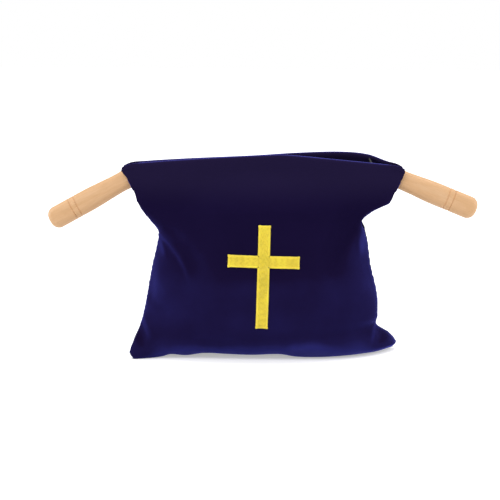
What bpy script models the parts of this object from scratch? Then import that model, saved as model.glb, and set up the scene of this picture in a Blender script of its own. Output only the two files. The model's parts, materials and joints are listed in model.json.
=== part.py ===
"""Velvet offertory bag with a hinged two-bow mouth and two turned wooden handles.

Metres, +Z up. The bag stands on its flattened bottom. X runs from handle to handle and the
embroidered front faces -Y. The bag's walls are nested lofts: one surface rule, walls(), is read
at several depths below the outer face, so velvet, lining, hems and seams always fit each other.
"""

import math

import bmesh
import bpy
from mathutils import Matrix, Vector

FRONT, BACK = -1, 1

GAP = 0.0003

VELVET = 0.0015
LINING = 0.0008
SEAM_HALF_WIDTH = 0.0025
# The side seams need a wider gap, because the cloth beside them is twisted at the corners.
SEAM_GAP = 0.0006

# Height, left reach, right reach, front depth and back depth of the bag at each level.
# The last row is the rim at the mouth's corners, the first one is the floor.
LEVELS = (
    (0.000, 0.1290, 0.1345, 0.0440, 0.0440),
    (0.009, 0.1342, 0.1392, 0.0440, 0.0440),
    (0.018, 0.1310, 0.1310, 0.0447, 0.0447),
    (0.028, 0.1262, 0.1186, 0.0460, 0.0460),
    (0.040, 0.1222, 0.1184, 0.0472, 0.0474),
    (0.062, 0.1180, 0.1175, 0.0482, 0.0498),
    (0.090, 0.1130, 0.1115, 0.0458, 0.0468),
    (0.112, 0.1080, 0.1080, 0.0412, 0.0424),
    (0.124, 0.1072, 0.1050, 0.0380, 0.0394),
    (0.135, 0.1150, 0.1022, 0.0345, 0.0362),
    (0.145, 0.1227, 0.1120, 0.0310, 0.0330),
    (0.156, 0.1283, 0.1290, 0.0268, 0.0290),
    (0.168, 0.1316, 0.1340, 0.0220, 0.0245),
    (0.183, 0.1392, 0.1417, 0.0168, 0.0178),
    (0.190, 0.1436, 0.1445, 0.0145, 0.0145),
    (0.195, 0.1418, 0.1425, 0.0130, 0.0130),
)
FLOOR_RADIUS = 0.022
ROUNDNESS = 2.6
FULLNESS = 0.60
BODY_FROM = 0.140
SLIT_FROM = 0.169
SEAM_TOP = 0.157
CORNER_END_SHARE = 0.25
TWIST_LEFT = 0.034
TWIST_RIGHT = 0.028
TWIST_FROM = 0.050
EAR_LIFT = 0.001
EAR_FROM = 0.80
BELLY = 0.0024
BELLY_RISE = 0.020
BELLY_FADE = 6
FOLD_FADE = 12

# The main folds of each panel: start and end along X and Z, height outwards, half width.
FOLDS = {
    FRONT: (
        ((0.106, 0.124), (0.070, 0.078), -0.0062, 0.011),
        ((0.122, 0.158), (0.092, 0.146), -0.0045, 0.011),
        ((-0.124, 0.156), (-0.110, 0.130), -0.0018, 0.010),
    ),
    BACK: (
        ((0.106, 0.120), (0.084, 0.100), -0.0046, 0.010),
        ((0.118, 0.152), (0.092, 0.142), -0.0032, 0.010),
        ((-0.108, 0.137), (-0.088, 0.126), -0.0042, 0.010),
        ((-0.098, 0.104), (-0.070, 0.080), 0.0012, 0.011),
    ),
}

# Crest of each rim at a few places along X: place, half opening of the mouth, height.
FRONT_RIM = (
    (-0.1445, 0.0120, 0.1915),
    (-0.137, 0.0138, 0.1950),
    (-0.128, 0.0136, 0.1966),
    (-0.070, 0.0100, 0.2010),
    (0.000, 0.0086, 0.2052),
    (0.022, 0.0086, 0.2058),
    (0.070, 0.0095, 0.2020),
    (0.128, 0.0136, 0.1970),
    (0.138, 0.0138, 0.1955),
    (0.1450, 0.0120, 0.1918),
)
BACK_RIM = (
    (-0.1445, 0.0120, 0.1915),
    (-0.137, 0.0138, 0.1950),
    (-0.128, 0.0136, 0.1966),
    (-0.080, 0.0100, 0.2003),
    (-0.010, 0.0100, 0.2040),
    (0.035, 0.0210, 0.2063),
    (0.080, 0.0320, 0.2070),
    (0.108, 0.0270, 0.2050),
    (0.128, 0.0180, 0.1985),
    (0.138, 0.0142, 0.1960),
    (0.1450, 0.0120, 0.1922),
)
HEM_DEPTH = 0.014
HEM_REACH = 0.108
FOLD_GAP = 0.0004
# Where the wire's pocket ends, as a share of the hem's depth.
POCKET_END = 0.65

WIRE_RADIUS = 0.0013
STUD_RADIUS = 0.0015
EYE_CLEARANCE = 0.0004
EYE_TURN = math.radians(290)
# The wire's run up from its eye, in line with the eye's edge and then bent off it.
EYE_RISE = 0.0020
BEND_IN = 0.0008
BEND_OUT = 0.0006
BEND_RISE = 0.0045

LEFT_PIVOT = Vector((-HEM_REACH - 0.0215, 0.0, 0.1845))
RIGHT_PIVOT = Vector((HEM_REACH + 0.0165, 0.0, 0.1875))
LEFT_DROOP = math.radians(29.2)
RIGHT_DROOP = math.radians(21.8)

FORK_WIDTH = 0.010
FORK_INNER = 0.006
FORK_WEB = 0.0026
STUD_END = 0.0006
TAB_THICKNESS = 0.0030
TAB_HEIGHT = 0.0090
TAB_CLEARANCE = 0.0004
COLLAR_LENGTH = 0.0020
COLLAR_STEP = 0.0010
PIN_RADIUS = 0.0014
PIN_CLEARANCE = 0.0004
PIN_HEAD_RADIUS = 0.0026
PIN_HEAD = 0.0010
NUT_RADIUS = 0.0035
NUT_LENGTH = 0.0024
NUT_CHAMFER = 0.0004
SHANK_RADIUS = 0.0024
SHANK_LENGTH = 0.028
SHANK_ROOT = 0.0015

HANDLE_START = 0.0078
HANDLE_REACH = 0.1008
GRIP_RADIUS = 0.0115
NECK_RADIUS = 0.0099
FLARE_RADIUS = 0.0103
END_RADIUS = 0.0085
END_DOME = 0.0004
NECK_FROM = 0.010
GRIP_FROM = 0.045
FLARE_FROM = 0.003
FLARE_EDGE = 0.0008
GROOVE_DEPTH = 0.0006
GROOVE_WIDTH = 0.0012
GROOVES_FROM_END = (0.0270, 0.0330)

CROSS_HEIGHT = 0.1016
CROSS_SPAN = 0.0710
CROSS_BAR = 0.0120
CROSS_TOP = 0.1368
CROSS_ARM_DOWN = 0.0350
CROSS_CENTRE = 0.0012
CROSS_LEAN = math.radians(1.25)
CROSS_BORDER = 0.0020
CROSS_RISE = 0.0011

COLUMNS = 22
WALL_ROWS = 13
CORNER_ROWS = 4
FLOOR_ROWS = 3
HEM_STATIONS = 20
CORNER_COLUMNS = 4
ROUND_STEPS = 20
HANDLE_STEPS = 28
# Points that meet within this distance are made one.
SAME_POINT = 0.000001

RIM_HEIGHT = LEVELS[-1][0]
HEM_END = RIM_HEIGHT - HEM_DEPTH - GAP
LEFT, RIGHT = -1, 1


def through(points, place, column):
    """Smooth curve through rows of points, read at a place along their first column."""
    if place <= points[0][0]:
        return points[0][column]
    if place >= points[-1][0]:
        return points[-1][column]
    i = next(k for k in range(len(points) - 1) if place <= points[k + 1][0])

    def slope(k):
        low, high = points[max(k - 1, 0)], points[min(k + 1, len(points) - 1)]
        return (high[column] - low[column]) / (high[0] - low[0])

    step = points[i + 1][0] - points[i][0]
    t = (place - points[i][0]) / step
    rise = points[i + 1][column] - points[i][column]
    start, end = slope(i) * step, slope(i + 1) * step
    return points[i][column] + t * start + t * t * (3 * rise - 2 * start - end) + t**3 * (
        start + end - 2 * rise
    )


def ease(t):
    t = min(max(t, 0.0), 1.0)
    return t * t * (3 - 2 * t)


def rim(side):
    return FRONT_RIM if side == FRONT else BACK_RIM


def crest(side, x):
    return through(rim(side), x, 2)


def half_mouth(side, x):
    return through(rim(side), x, 1)


def column_x(u, level, inset):
    """Place along X of column u, from -1 at the left edge to 1 at the right one."""
    left = through(LEVELS, level, 1) - inset
    right = through(LEVELS, level, 2) - inset
    along = 0.5 * (right - left) + 0.5 * (right + left) * u
    top = through(LEVELS, RIM_HEIGHT, 1 if u < 0 else 2)
    edge = left if u < 0 else right
    fixed = abs(u) * top
    if fixed > HEM_REACH:
        fixed = HEM_REACH + (fixed - HEM_REACH) * (edge - HEM_REACH) / (top - HEM_REACH)
    fixed = math.copysign(fixed, u)
    share = ease((level - BODY_FROM) / (HEM_END - BODY_FROM))
    return along + (fixed - along) * share


def twisted(x, y, z, u, level):
    """The lower corners are turned out of line: the left one forwards, the right one back and up."""
    low = ease((TWIST_FROM - level) / TWIST_FROM)
    turn = TWIST_LEFT if u < 0 else TWIST_RIGHT
    y += turn * low * math.copysign(abs(u) ** 4, u)
    z += EAR_LIFT * low * ease((u - EAR_FROM) / (1 - EAR_FROM))
    return Vector((x, y, z))


def relief(side, u, x, z):
    """How far the settled cloth stands off its plain shape at a place on a panel."""
    belly = BELLY * ease((z - FLOOR_RADIUS) / BELLY_RISE) * (1 - abs(u) ** BELLY_FADE)
    total = 0.0
    for start, end, height, width in FOLDS[side]:
        start, line = Vector(start), Vector(end) - Vector(start)
        place = Vector((x, z)) - start
        along = min(max(place.dot(line) / line.length_squared, 0.0), 1.0)
        total += height * math.exp(-(((place - along * line).length / width) ** 2))
    return belly + total * (1 - abs(u) ** FOLD_FADE)


def walls(side, u, level, inset):
    """A point of the bag's wall, inset below its outer face, at a level above the floor turn."""
    x = column_x(u, level, inset)
    share = (level - FLOOR_RADIUS) / (RIM_HEIGHT - FLOOR_RADIUS)
    z = FLOOR_RADIUS + share * (crest(side, x) - FLOOR_RADIUS)
    full = max(1 - abs(u) ** ROUNDNESS, 0.0) ** FULLNESS
    depth = through(LEVELS, level, 3 if side == FRONT else 4)
    body = SEAM_HALF_WIDTH + (depth - inset - SEAM_HALF_WIDTH) * full
    mouth = half_mouth(side, x) - inset
    share = ease((level - BODY_FROM) / (RIM_HEIGHT - HEM_DEPTH - BODY_FROM))
    slit = ease((level - SEAM_TOP) / (SLIT_FROM - SEAM_TOP)) * abs(u) ** 8
    body += relief(side, u, x, z)
    y = body + (mouth - body) * max(share, slit)
    return twisted(x, side * y, z, u, level)


def floor_turn(side, u, angle, inset):
    """A point of the round turn from wall to floor, at an angle from the wall."""
    level = FLOOR_RADIUS * (1 - math.sin(angle))
    x = column_x(u, level, inset)
    full = max(1 - abs(u) ** ROUNDNESS, 0.0) ** FULLNESS
    full += (CORNER_END_SHARE * math.sin(angle)) * (1 - full)
    depth = through(LEVELS, FLOOR_RADIUS, 3 if side == FRONT else 4)
    reach = depth - FLOOR_RADIUS + (FLOOR_RADIUS - inset) * math.cos(angle)
    y = SEAM_HALF_WIDTH + (reach - SEAM_HALF_WIDTH) * full
    z = FLOOR_RADIUS - (FLOOR_RADIUS - inset) * math.sin(angle)
    return twisted(x, side * y, z, u, level)


def floor_point(side, u, share, inset):
    """A point of the flat bottom, at a share of the way out from its seam."""
    out = floor_turn(side, u, math.pi / 2, inset)
    seam = twisted(out.x, side * SEAM_HALF_WIDTH, out.z, u, 0.0)
    seam.z = out.z
    return seam.lerp(out, share)


def levels_down(top, count):
    return [top + (FLOOR_RADIUS - top) * k / count for k in range(count + 1)]


def panel_rows(side, top, inset):
    """Functions of u, one for each row of a panel from its top edge to the bottom seam."""
    rows = [lambda u, l=l: walls(side, u, l, inset) for l in levels_down(top, WALL_ROWS)]
    for k in range(1, CORNER_ROWS + 1):
        angle = math.pi / 2 * k / CORNER_ROWS
        rows.append(lambda u, a=angle: floor_turn(side, u, a, inset))
    for k in range(FLOOR_ROWS - 1, -1, -1):
        rows.append(lambda u, s=k / FLOOR_ROWS: floor_point(side, u, s, inset))
    return rows


def panel_columns():
    """Columns from edge to edge, with one on each side of both ends of the hem."""
    columns = []
    for side in (LEFT, RIGHT):
        reach = LEVELS[-1][1 if side == LEFT else 2]
        inner, outer = HEM_REACH / reach, (HEM_REACH + GAP) / reach
        middle = [inner * k / (COLUMNS // 2 - 3) for k in range(COLUMNS // 2 - 2)]
        steps = CORNER_COLUMNS
        corner = [outer + (1 - outer) * k / steps for k in range(steps + 1)]
        half = middle[1 if side == RIGHT else 0 :] + corner
        columns += [side * u for u in (reversed(half) if side == LEFT else half)]
    return columns


def collection(name, parent=None):
    made = bpy.data.collections.new(name)
    (parent or bpy.context.scene.collection).children.link(made)
    return made


def material(name, colour, roughness, metallic=0.0):
    made = bpy.data.materials.new(name)
    made.use_nodes = True
    shader = made.node_tree.nodes["Principled BSDF"]
    shader.inputs["Base Color"].default_value = (*colour, 1.0)
    shader.inputs["Roughness"].default_value = roughness
    shader.inputs["Metallic"].default_value = metallic
    return made


def add(name, mesh, look, where=None):
    part = bpy.data.objects.new(name, mesh)
    (where or BAG).objects.link(part)
    if look:
        part.data.materials.append(look)
    return part


def finish(name, bm, look, smooth=math.radians(40)):
    """Make an object of a closed mesh, with its faces turned out and shaded smooth."""
    bmesh.ops.remove_doubles(bm, verts=bm.verts, dist=SAME_POINT)
    bmesh.ops.recalc_face_normals(bm, faces=bm.faces)
    mesh = bpy.data.meshes.new(name)
    bm.to_mesh(mesh)
    bm.free()
    mesh.shade_smooth()
    mesh.set_sharp_from_angle(angle=smooth)
    return add(name, mesh, look)


def shell(name, outer, inner, look, keep=None):
    """Closed loft between two grids of points of the same size; keep picks the cells."""
    bm = bmesh.new()
    out = [[bm.verts.new(p) for p in row] for row in outer]
    ins = [[bm.verts.new(p) for p in row] for row in inner]
    for r in range(len(outer) - 1):
        for c in range(len(outer[0]) - 1):
            if keep is None or keep(r, c):
                bm.faces.new((out[r][c], out[r][c + 1], out[r + 1][c + 1], out[r + 1][c]))
                bm.faces.new((ins[r][c], ins[r + 1][c], ins[r + 1][c + 1], ins[r][c + 1]))
    partner = {}
    for row, inner_row in zip(out, ins):
        for a, b in zip(row, inner_row):
            partner[a] = b
    for edge in [e for e in bm.edges if len(e.link_faces) == 1 and e.verts[0] in partner]:
        a, b = edge.verts
        bm.faces.new((b, a, partner[a], partner[b]))
    bmesh.ops.delete(bm, geom=[v for v in bm.verts if not v.link_faces], context="VERTS")
    return finish(name, bm, look)


def panel(name, side, top_inset, wall, look, corners):
    """One face of the bag in one layer: wall, turn and half the bottom, and the rim's corners."""
    columns = panel_columns()
    grids = []
    corner_levels = (RIM_HEIGHT, RIM_HEIGHT - HEM_DEPTH / 2)
    for inset in (top_inset, top_inset + wall):
        rows = [lambda u, l=l: walls(side, u, l, inset) for l in corner_levels]
        rows += panel_rows(side, HEM_END, inset)
        grids.append([[row(u) for u in columns] for row in rows])
    last = len(columns) - 1 - CORNER_COLUMNS

    def keep(r, c):
        return r >= len(corner_levels) or corners and (c < CORNER_COLUMNS or c >= last)

    return shell(name, grids[0], grids[1], look, keep)


def hem_section():
    """Outline of the folded hem as (inset, drop) pairs: down over the outside, up inside."""
    inner = WIRE_RADIUS + GAP
    outer = inner + VELVET
    foot = VELVET + FOLD_GAP
    pocket = HEM_DEPTH * POCKET_END
    points = [(0.0, HEM_DEPTH), (0.0, HEM_DEPTH / 2)]
    for k in range(7):
        angle = math.pi * k / 6
        points.append((outer - outer * math.cos(angle), outer - outer * math.sin(angle)))
    points += [(foot + VELVET, pocket), (foot + VELVET, HEM_DEPTH), (foot, HEM_DEPTH), (foot, pocket)]
    for k in range(5):
        angle = math.pi * (1 - k / 4)
        points.append((outer - inner * math.cos(angle), outer - inner * math.sin(angle)))
    points += [(VELVET, pocket), (VELVET, HEM_DEPTH)]
    return points


def hem_point(side, x, inset, drop):
    """A point of the hem or its wire at a place along X, inset from the face and below the crest."""
    share = (RIM_HEIGHT - drop - FLOOR_RADIUS) / (RIM_HEIGHT - FLOOR_RADIUS)
    z = FLOOR_RADIUS + share * (crest(side, x) - FLOOR_RADIUS)
    return Vector((x, side * (half_mouth(side, x) - inset), z))


def hem_stations():
    """Places along X of the hem's and the wire's cross sections."""
    return [HEM_REACH * (2 * k / HEM_STATIONS - 1) for k in range(HEM_STATIONS + 1)]


def hinged(part):
    """Move a swinging piece's origin onto the hinge line of the mouth."""
    part.data.transform(Matrix.Translation(-LEFT_PIVOT))
    part.location = LEFT_PIVOT
    return part


def hem(name, side, look):
    """The velvet's top edge folded over the wire bow; it swings with the bow."""
    section = hem_section()
    bm = bmesh.new()
    rings = [[bm.verts.new(hem_point(side, x, n, q)) for n, q in section] for x in hem_stations()]
    count = len(section)
    for a, b in zip(rings, rings[1:]):
        for k in range(count):
            j = (k + 1) % count
            bm.faces.new((a[k], a[j], b[j], b[k]))
    bm.faces.new(rings[0])
    bm.faces.new(rings[-1])
    return hinged(finish(name, bm, look))


def hinge_frame(side):
    """Matrix of one end of the mouth: its X runs inwards along the hinge line."""
    line = (RIGHT_PIVOT - LEFT_PIVOT).normalized()
    tilt = math.atan2(line.z, line.x)
    place = LEFT_PIVOT if side == LEFT else RIGHT_PIVOT
    turn = Matrix.Rotation(-tilt, 4, "Y")
    if side == RIGHT:
        turn = turn @ Matrix.Rotation(math.pi, 4, "Z")
    return Matrix.Translation(place) @ turn


def eye_place(bow_side):
    """Distance of a bow's eye from the pin, inwards along the stud."""
    first = FORK_INNER + GAP + WIRE_RADIUS
    return first if bow_side == FRONT else first + 2 * WIRE_RADIUS + GAP


def wire_end(bow_side, end):
    """Points of one end of a bow: the open eye round the stud, then the run up to the hem."""
    radius = STUD_RADIUS + EYE_CLEARANCE + WIRE_RADIUS
    along = eye_place(bow_side)
    frame = hinge_frame(end)
    flip = bow_side * (1 if end == LEFT else -1)
    points = []
    steps = 12
    for k in range(steps + 1):
        angle = EYE_TURN * (1 - k / steps)
        points.append(frame @ Vector((along, flip * radius * math.cos(angle), -radius * math.sin(angle))))
    points.append(frame @ Vector((along, flip * radius, EYE_RISE)))
    outwards = radius + WIRE_RADIUS + BEND_OUT
    points.append(frame @ Vector((along + BEND_IN, flip * outwards, BEND_RISE)))
    return points


def bow(name, side, look):
    """Spring-wire bow along one side of the mouth, with an eye at each end."""
    drop = WIRE_RADIUS + GAP + VELVET
    start, finish_run = wire_end(side, LEFT), wire_end(side, RIGHT)
    middle = [hem_point(side, x, drop, drop) for x in hem_stations()]
    middle.insert(0, middle[0] + (middle[0] - middle[1]).normalized() * WIRE_RADIUS)
    middle.append(middle[-1] + (middle[-1] - middle[-2]).normalized() * WIRE_RADIUS)
    points = start + middle + finish_run[::-1]
    curve = bpy.data.curves.new(name, "CURVE")
    curve.dimensions = "3D"
    curve.bevel_depth = WIRE_RADIUS
    curve.bevel_resolution = 2
    curve.use_fill_caps = True
    spline = curve.splines.new("POLY")
    spline.points.add(len(points) - 1)
    for control, point in zip(spline.points, points):
        control.co = (*point, 1.0)
    guide = bpy.data.objects.new(name + "_route", curve)
    BAG.objects.link(guide)
    bpy.context.view_layer.update()
    mesh = bpy.data.meshes.new_from_object(guide.evaluated_get(bpy.context.evaluated_depsgraph_get()))
    bpy.data.objects.remove(guide)
    bm = bmesh.new()
    bm.from_mesh(mesh)
    bpy.data.meshes.remove(mesh)
    return hinged(finish(name, bm, look))


def edge_strip(name, end, look):
    """Seam allowance down one side of the bag, between the front and back panels."""
    deep = VELVET + GAP + LINING
    rows = [(walls, level) for level in levels_down(HEM_END, WALL_ROWS) if level < SEAM_TOP]
    angles = [math.pi / 2 * k / CORNER_ROWS for k in range(1, CORNER_ROWS + 1)]
    rows += [(floor_turn, angle) for angle in angles]
    outer, inner = [], []
    for inset, grid in ((0.0, outer), (deep, inner)):
        lift = twisted(0, 0, 0, end, 0.0).z
        floor = deep + GAP + lift
        above = None
        for make, value in rows:
            front = make(FRONT, end, value, inset) + Vector((0, SEAM_GAP, 0))
            back = make(BACK, end, value, inset) - Vector((0, SEAM_GAP, 0))
            if front.z < floor:
                share = (above[0].z - floor) / (above[0].z - front.z)
                grid.append([above[0].lerp(front, share), above[1].lerp(back, share)])
                break
            above = [front, back]
            grid.append(above)
    count = min(len(outer), len(inner))
    return shell(name, outer[:count], inner[:count], look)


def bottom_strip(name, look):
    """Seam allowance along the bottom, between the front and back panels."""
    deep = VELVET + GAP + LINING
    columns = panel_columns()
    grids = []
    for inset in (0.0, deep):
        front = [floor_point(FRONT, u, 0.0, inset) + Vector((0, GAP, 0)) for u in columns]
        back = [floor_point(BACK, u, 0.0, inset) - Vector((0, GAP, 0)) for u in columns]
        grids.append([front, back])
    return shell(name, grids[0], grids[1], look)


def on_front(x, z, rise):
    """A point of the leaning cross on the front, standing off the outer face by rise."""
    arm = CROSS_TOP - CROSS_ARM_DOWN
    lean = Matrix.Rotation(-CROSS_LEAN, 2)
    x, z = lean @ Vector((x, z - arm)) + Vector((CROSS_CENTRE, arm))
    share = (z - FLOOR_RADIUS) / (crest(FRONT, x) - FLOOR_RADIUS)
    level = FLOOR_RADIUS + share * (RIM_HEIGHT - FLOOR_RADIUS)
    left, right = through(LEVELS, level, 1), through(LEVELS, level, 2)
    u = (x - 0.5 * (right - left)) / (0.5 * (right + left))
    point = walls(FRONT, u, level, 0.0)
    return point + Vector((0, -rise, 0))


def cross_lines():
    """Lines of the cross along X and down it, where the border and the bars begin and end."""
    edge, seam = CROSS_BORDER, CROSS_BORDER + GAP
    half_bar, half_span = CROSS_BAR / 2, CROSS_SPAN / 2
    side = [half_bar - seam, half_bar - edge, half_bar]
    arm = [half_span - seam, half_span - edge, half_span]
    steps = [half_bar + (half_span - seam - half_bar) * k / 3 for k in range(1, 3)]
    across = side + steps + arm
    across = [-v for v in reversed(across)] + across
    arm_z = CROSS_TOP - CROSS_ARM_DOWN
    foot = CROSS_TOP - CROSS_HEIGHT
    down = [CROSS_TOP, CROSS_TOP - edge, CROSS_TOP - seam]
    top, low = arm_z + half_bar, arm_z - half_bar
    down += [CROSS_TOP - seam + (top - CROSS_TOP + seam) * k / 3 for k in range(1, 3)]
    down += [top, top - edge, top - seam, low + seam, low + edge, low]
    down += [low + (foot + seam - low) * k / 6 for k in range(1, 6)]
    down += [foot + seam, foot + edge, foot]
    return across, down


def cross_piece(name, look, inside):
    """The part of the cross inside its border, or the border round it."""
    across, down = cross_lines()
    grids = []
    for rise in (GAP + CROSS_RISE, GAP):
        grids.append([[on_front(x, z, rise) for x in across] for z in down])
    arm_z = CROSS_TOP - CROSS_ARM_DOWN
    foot = CROSS_TOP - CROSS_HEIGHT

    def within(x, z, margin):
        upright = abs(x) < CROSS_BAR / 2 - margin and foot + margin < z < CROSS_TOP - margin
        arm = abs(x) < CROSS_SPAN / 2 - margin and abs(z - arm_z) < CROSS_BAR / 2 - margin
        return upright or arm

    def keep(r, c):
        x, z = (across[c] + across[c + 1]) / 2, (down[r] + down[r + 1]) / 2
        if inside:
            return within(x, z, CROSS_BORDER + GAP)
        return within(x, z, 0.0) and not within(x, z, CROSS_BORDER)

    return shell(name, grids[0], grids[1], look, keep)


def turned(name, profile, look, steps, where=None):
    """A turned solid: a profile of (radius, place) pairs, top to bottom, spun round Z."""
    mesh = bpy.data.meshes.new(name)
    points = [(radius, 0.0, place) for radius, place in profile]
    mesh.from_pydata(points, [(k, k + 1) for k in range(len(points) - 1)], [])
    part = add(name, mesh, look, where)
    spin = part.modifiers.new("turned", "SCREW")
    spin.axis = "Z"
    spin.steps = steps
    spin.render_steps = steps
    spin.use_merge_vertices = True
    spin.merge_threshold = 0.00001
    return part


def solid(part, smooth=math.radians(35)):
    """Apply a part's modifiers and put the result in its place as a plain mesh."""
    bpy.context.view_layer.update()
    mesh = bpy.data.meshes.new_from_object(part.evaluated_get(bpy.context.evaluated_depsgraph_get()))
    part.modifiers.clear()
    part.data = mesh
    mesh.shade_smooth()
    mesh.set_sharp_from_angle(angle=smooth)
    return part


def rounded(centre, radius, angles):
    x, z = centre
    return [(x + radius * math.cos(a), z + radius * math.sin(a)) for a in angles]


def handle_profile():
    """(radius, distance from the pin) from the handle's outer end in to its drilled end."""
    tip, start = HANDLE_REACH, HANDLE_START
    face = GRIP_RADIUS - END_RADIUS
    profile = [(0.0, tip + END_DOME)]
    for k in range(6):
        angle = math.pi / 2 * (1 - k / 5)
        radius = face + END_RADIUS * math.cos(angle)
        profile.append((radius, tip - END_RADIUS + END_RADIUS * math.sin(angle)))
    for place in GROOVES_FROM_END:
        for offset, depth in ((0.5, 0.0), (0.0, GROOVE_DEPTH), (-0.5, 0.0)):
            profile.append((GRIP_RADIUS - depth, tip - place + offset * GROOVE_WIDTH))
    neck = start + NECK_FROM
    grip = start + GRIP_FROM
    for k in range(1, 6):
        share = k / 5
        radius = GRIP_RADIUS + (NECK_RADIUS - GRIP_RADIUS) * ease(share)
        profile.append((radius, grip + (neck - grip) * share))
    nearly = FLARE_RADIUS - (FLARE_RADIUS - NECK_RADIUS) / 2
    profile += [(nearly, start + FLARE_FROM), (FLARE_RADIUS, start + FLARE_EDGE)]
    profile += [(FLARE_RADIUS - FLARE_EDGE, start)]
    hole = SHANK_RADIUS + GAP
    end = start + SHANK_LENGTH + GAP
    profile += [(hole, start), (hole, end), (0.0, end)]
    return profile


def outline(name, points, thickness, where=None, look=None):
    """A flat plate in the XZ plane from its outline, centred on Y."""
    curve = bpy.data.curves.new(name, "CURVE")
    curve.dimensions = "2D"
    curve.fill_mode = "BOTH"
    curve.extrude = thickness / 2
    spline = curve.splines.new("POLY")
    spline.points.add(len(points) - 1)
    for control, (x, z) in zip(spline.points, points):
        control.co = (x, z, 0.0, 1.0)
    spline.use_cyclic_u = True
    guide = bpy.data.objects.new(name, curve)
    BAG.objects.link(guide)
    bpy.context.view_layer.update()
    mesh = bpy.data.meshes.new_from_object(guide.evaluated_get(bpy.context.evaluated_depsgraph_get()))
    bpy.data.objects.remove(guide)
    bm = bmesh.new()
    bm.from_mesh(mesh)
    bmesh.ops.remove_doubles(bm, verts=bm.verts, dist=SAME_POINT)
    bmesh.ops.transform(bm, matrix=Matrix.Rotation(math.pi / 2, 4, "X"), verts=bm.verts)
    bmesh.ops.recalc_face_normals(bm, faces=bm.faces)
    bm.to_mesh(mesh)
    bm.free()
    return add(name, mesh, look, where)


def rod(name, radius, start, end, direction, where=None, look=None):
    """A plain round rod or drill between two distances from the pin, along X or Y."""
    bm = bmesh.new()
    bmesh.ops.create_cone(
        bm,
        cap_ends=True,
        segments=ROUND_STEPS,
        radius1=radius,
        radius2=radius,
        depth=end - start,
        matrix=Matrix.Rotation(math.pi / 2, 4, "Y" if direction == "X" else "X"),
    )
    middle = (start + end) / 2
    shift = Vector((middle, 0, 0)) if direction == "X" else Vector((0, middle, 0))
    bmesh.ops.translate(bm, vec=shift, verts=bm.verts)
    mesh = bpy.data.meshes.new(name)
    bm.to_mesh(mesh)
    bm.free()
    return add(name, mesh, look, where)


def block(name, size, centre, where):
    """A plain block for cutting with."""
    place = Matrix.Translation(centre) @ Matrix.Diagonal((*size, 1))
    bm = bmesh.new()
    bmesh.ops.create_cube(bm, size=1.0, matrix=place)
    mesh = bpy.data.meshes.new(name)
    bm.to_mesh(mesh)
    bm.free()
    return add(name, mesh, None, where)


def cut(part, cutter, operation="DIFFERENCE"):
    step = part.modifiers.new(cutter.name, "BOOLEAN")
    step.operation = operation
    step.object = cutter
    step.solver = "EXACT"
    cutter.hide_render = True
    cutter.display_type = "WIRE"


def placed(part, matrix):
    """Set a finished part at the pin and take up the turn of its end of the mouth."""
    part.matrix_world = matrix
    return part


def half_round(radius):
    """Points of a half circle round the pin, on its outer side."""
    return rounded((0, 0), radius, [math.pi / 2 + math.pi * k / 10 for k in range(11)])


def pin_drill(name):
    """Drill for the hinge pin's hole."""
    return rod(name + "_drill", PIN_RADIUS + PIN_CLEARANCE, -FORK_WIDTH, FORK_WIDTH, "Y", CUTTERS)


def fork(name, end, look):
    """Fork on the hinge pin with the stud that carries both bows, made in one piece."""
    half = FORK_WIDTH / 2
    points = [(FORK_INNER, half)] + half_round(half) + [(FORK_INNER, -half)]
    body = outline(name, points, FORK_WIDTH, look=look)
    slot_inner = FORK_INNER - FORK_WEB
    slot = TAB_THICKNESS + 2 * TAB_CLEARANCE
    length = slot_inner + FORK_WIDTH
    middle = (slot_inner - length / 2, 0, 0)
    cut(body, block(name + "_slot", (length, slot, 2 * FORK_WIDTH), middle, CUTTERS))
    cut(body, pin_drill(name))
    stud_start = FORK_INNER - FORK_WEB / 2
    stud_end = eye_place(BACK) + WIRE_RADIUS + GAP + NUT_LENGTH + STUD_END
    cut(body, rod(name + "_stud", STUD_RADIUS, stud_start, stud_end, "X", CUTTERS), "UNION")
    return placed(solid(body), hinge_frame(end))


def nut(name, end, look):
    """Round nut on the end of the stud."""
    bore = STUD_RADIUS + GAP
    start = eye_place(BACK) + WIRE_RADIUS + GAP
    body = turned(
        name,
        [
            (bore, start + NUT_LENGTH),
            (NUT_RADIUS - NUT_CHAMFER, start + NUT_LENGTH),
            (NUT_RADIUS, start + NUT_LENGTH - NUT_CHAMFER),
            (NUT_RADIUS, start),
            (bore, start),
            (bore, start + NUT_LENGTH),
        ],
        look,
        ROUND_STEPS,
    )
    return placed(solid(body), hinge_frame(end) @ Matrix.Rotation(math.pi / 2, 4, "Y"))


def hinge_pin(name, end, look):
    """Rivet across the fork and the tab, with a head on each side."""
    half = FORK_WIDTH / 2 + GAP
    full = half + PIN_HEAD
    body = turned(
        name,
        [
            (0.0, full),
            (PIN_HEAD_RADIUS * 0.7, full),
            (PIN_HEAD_RADIUS, half + PIN_HEAD * 0.4),
            (PIN_HEAD_RADIUS, half),
            (PIN_RADIUS, half),
            (PIN_RADIUS, -half),
            (PIN_HEAD_RADIUS, -half),
            (PIN_HEAD_RADIUS, -half - PIN_HEAD * 0.4),
            (PIN_HEAD_RADIUS * 0.7, -full),
            (0.0, -full),
        ],
        look,
        ROUND_STEPS,
    )
    return placed(solid(body), hinge_frame(end) @ Matrix.Rotation(math.pi / 2, 4, "X"))


def handle_frame(end):
    """Matrix at the pin whose X runs out along the drooping handle."""
    droop = LEFT_DROOP if end == LEFT else RIGHT_DROOP
    place = LEFT_PIVOT if end == LEFT else RIGHT_PIVOT
    turn = Matrix.Rotation(droop, 4, "Y")
    if end == LEFT:
        turn = Matrix.Rotation(math.pi, 4, "Z") @ turn
    return Matrix.Translation(place) @ turn


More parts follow.
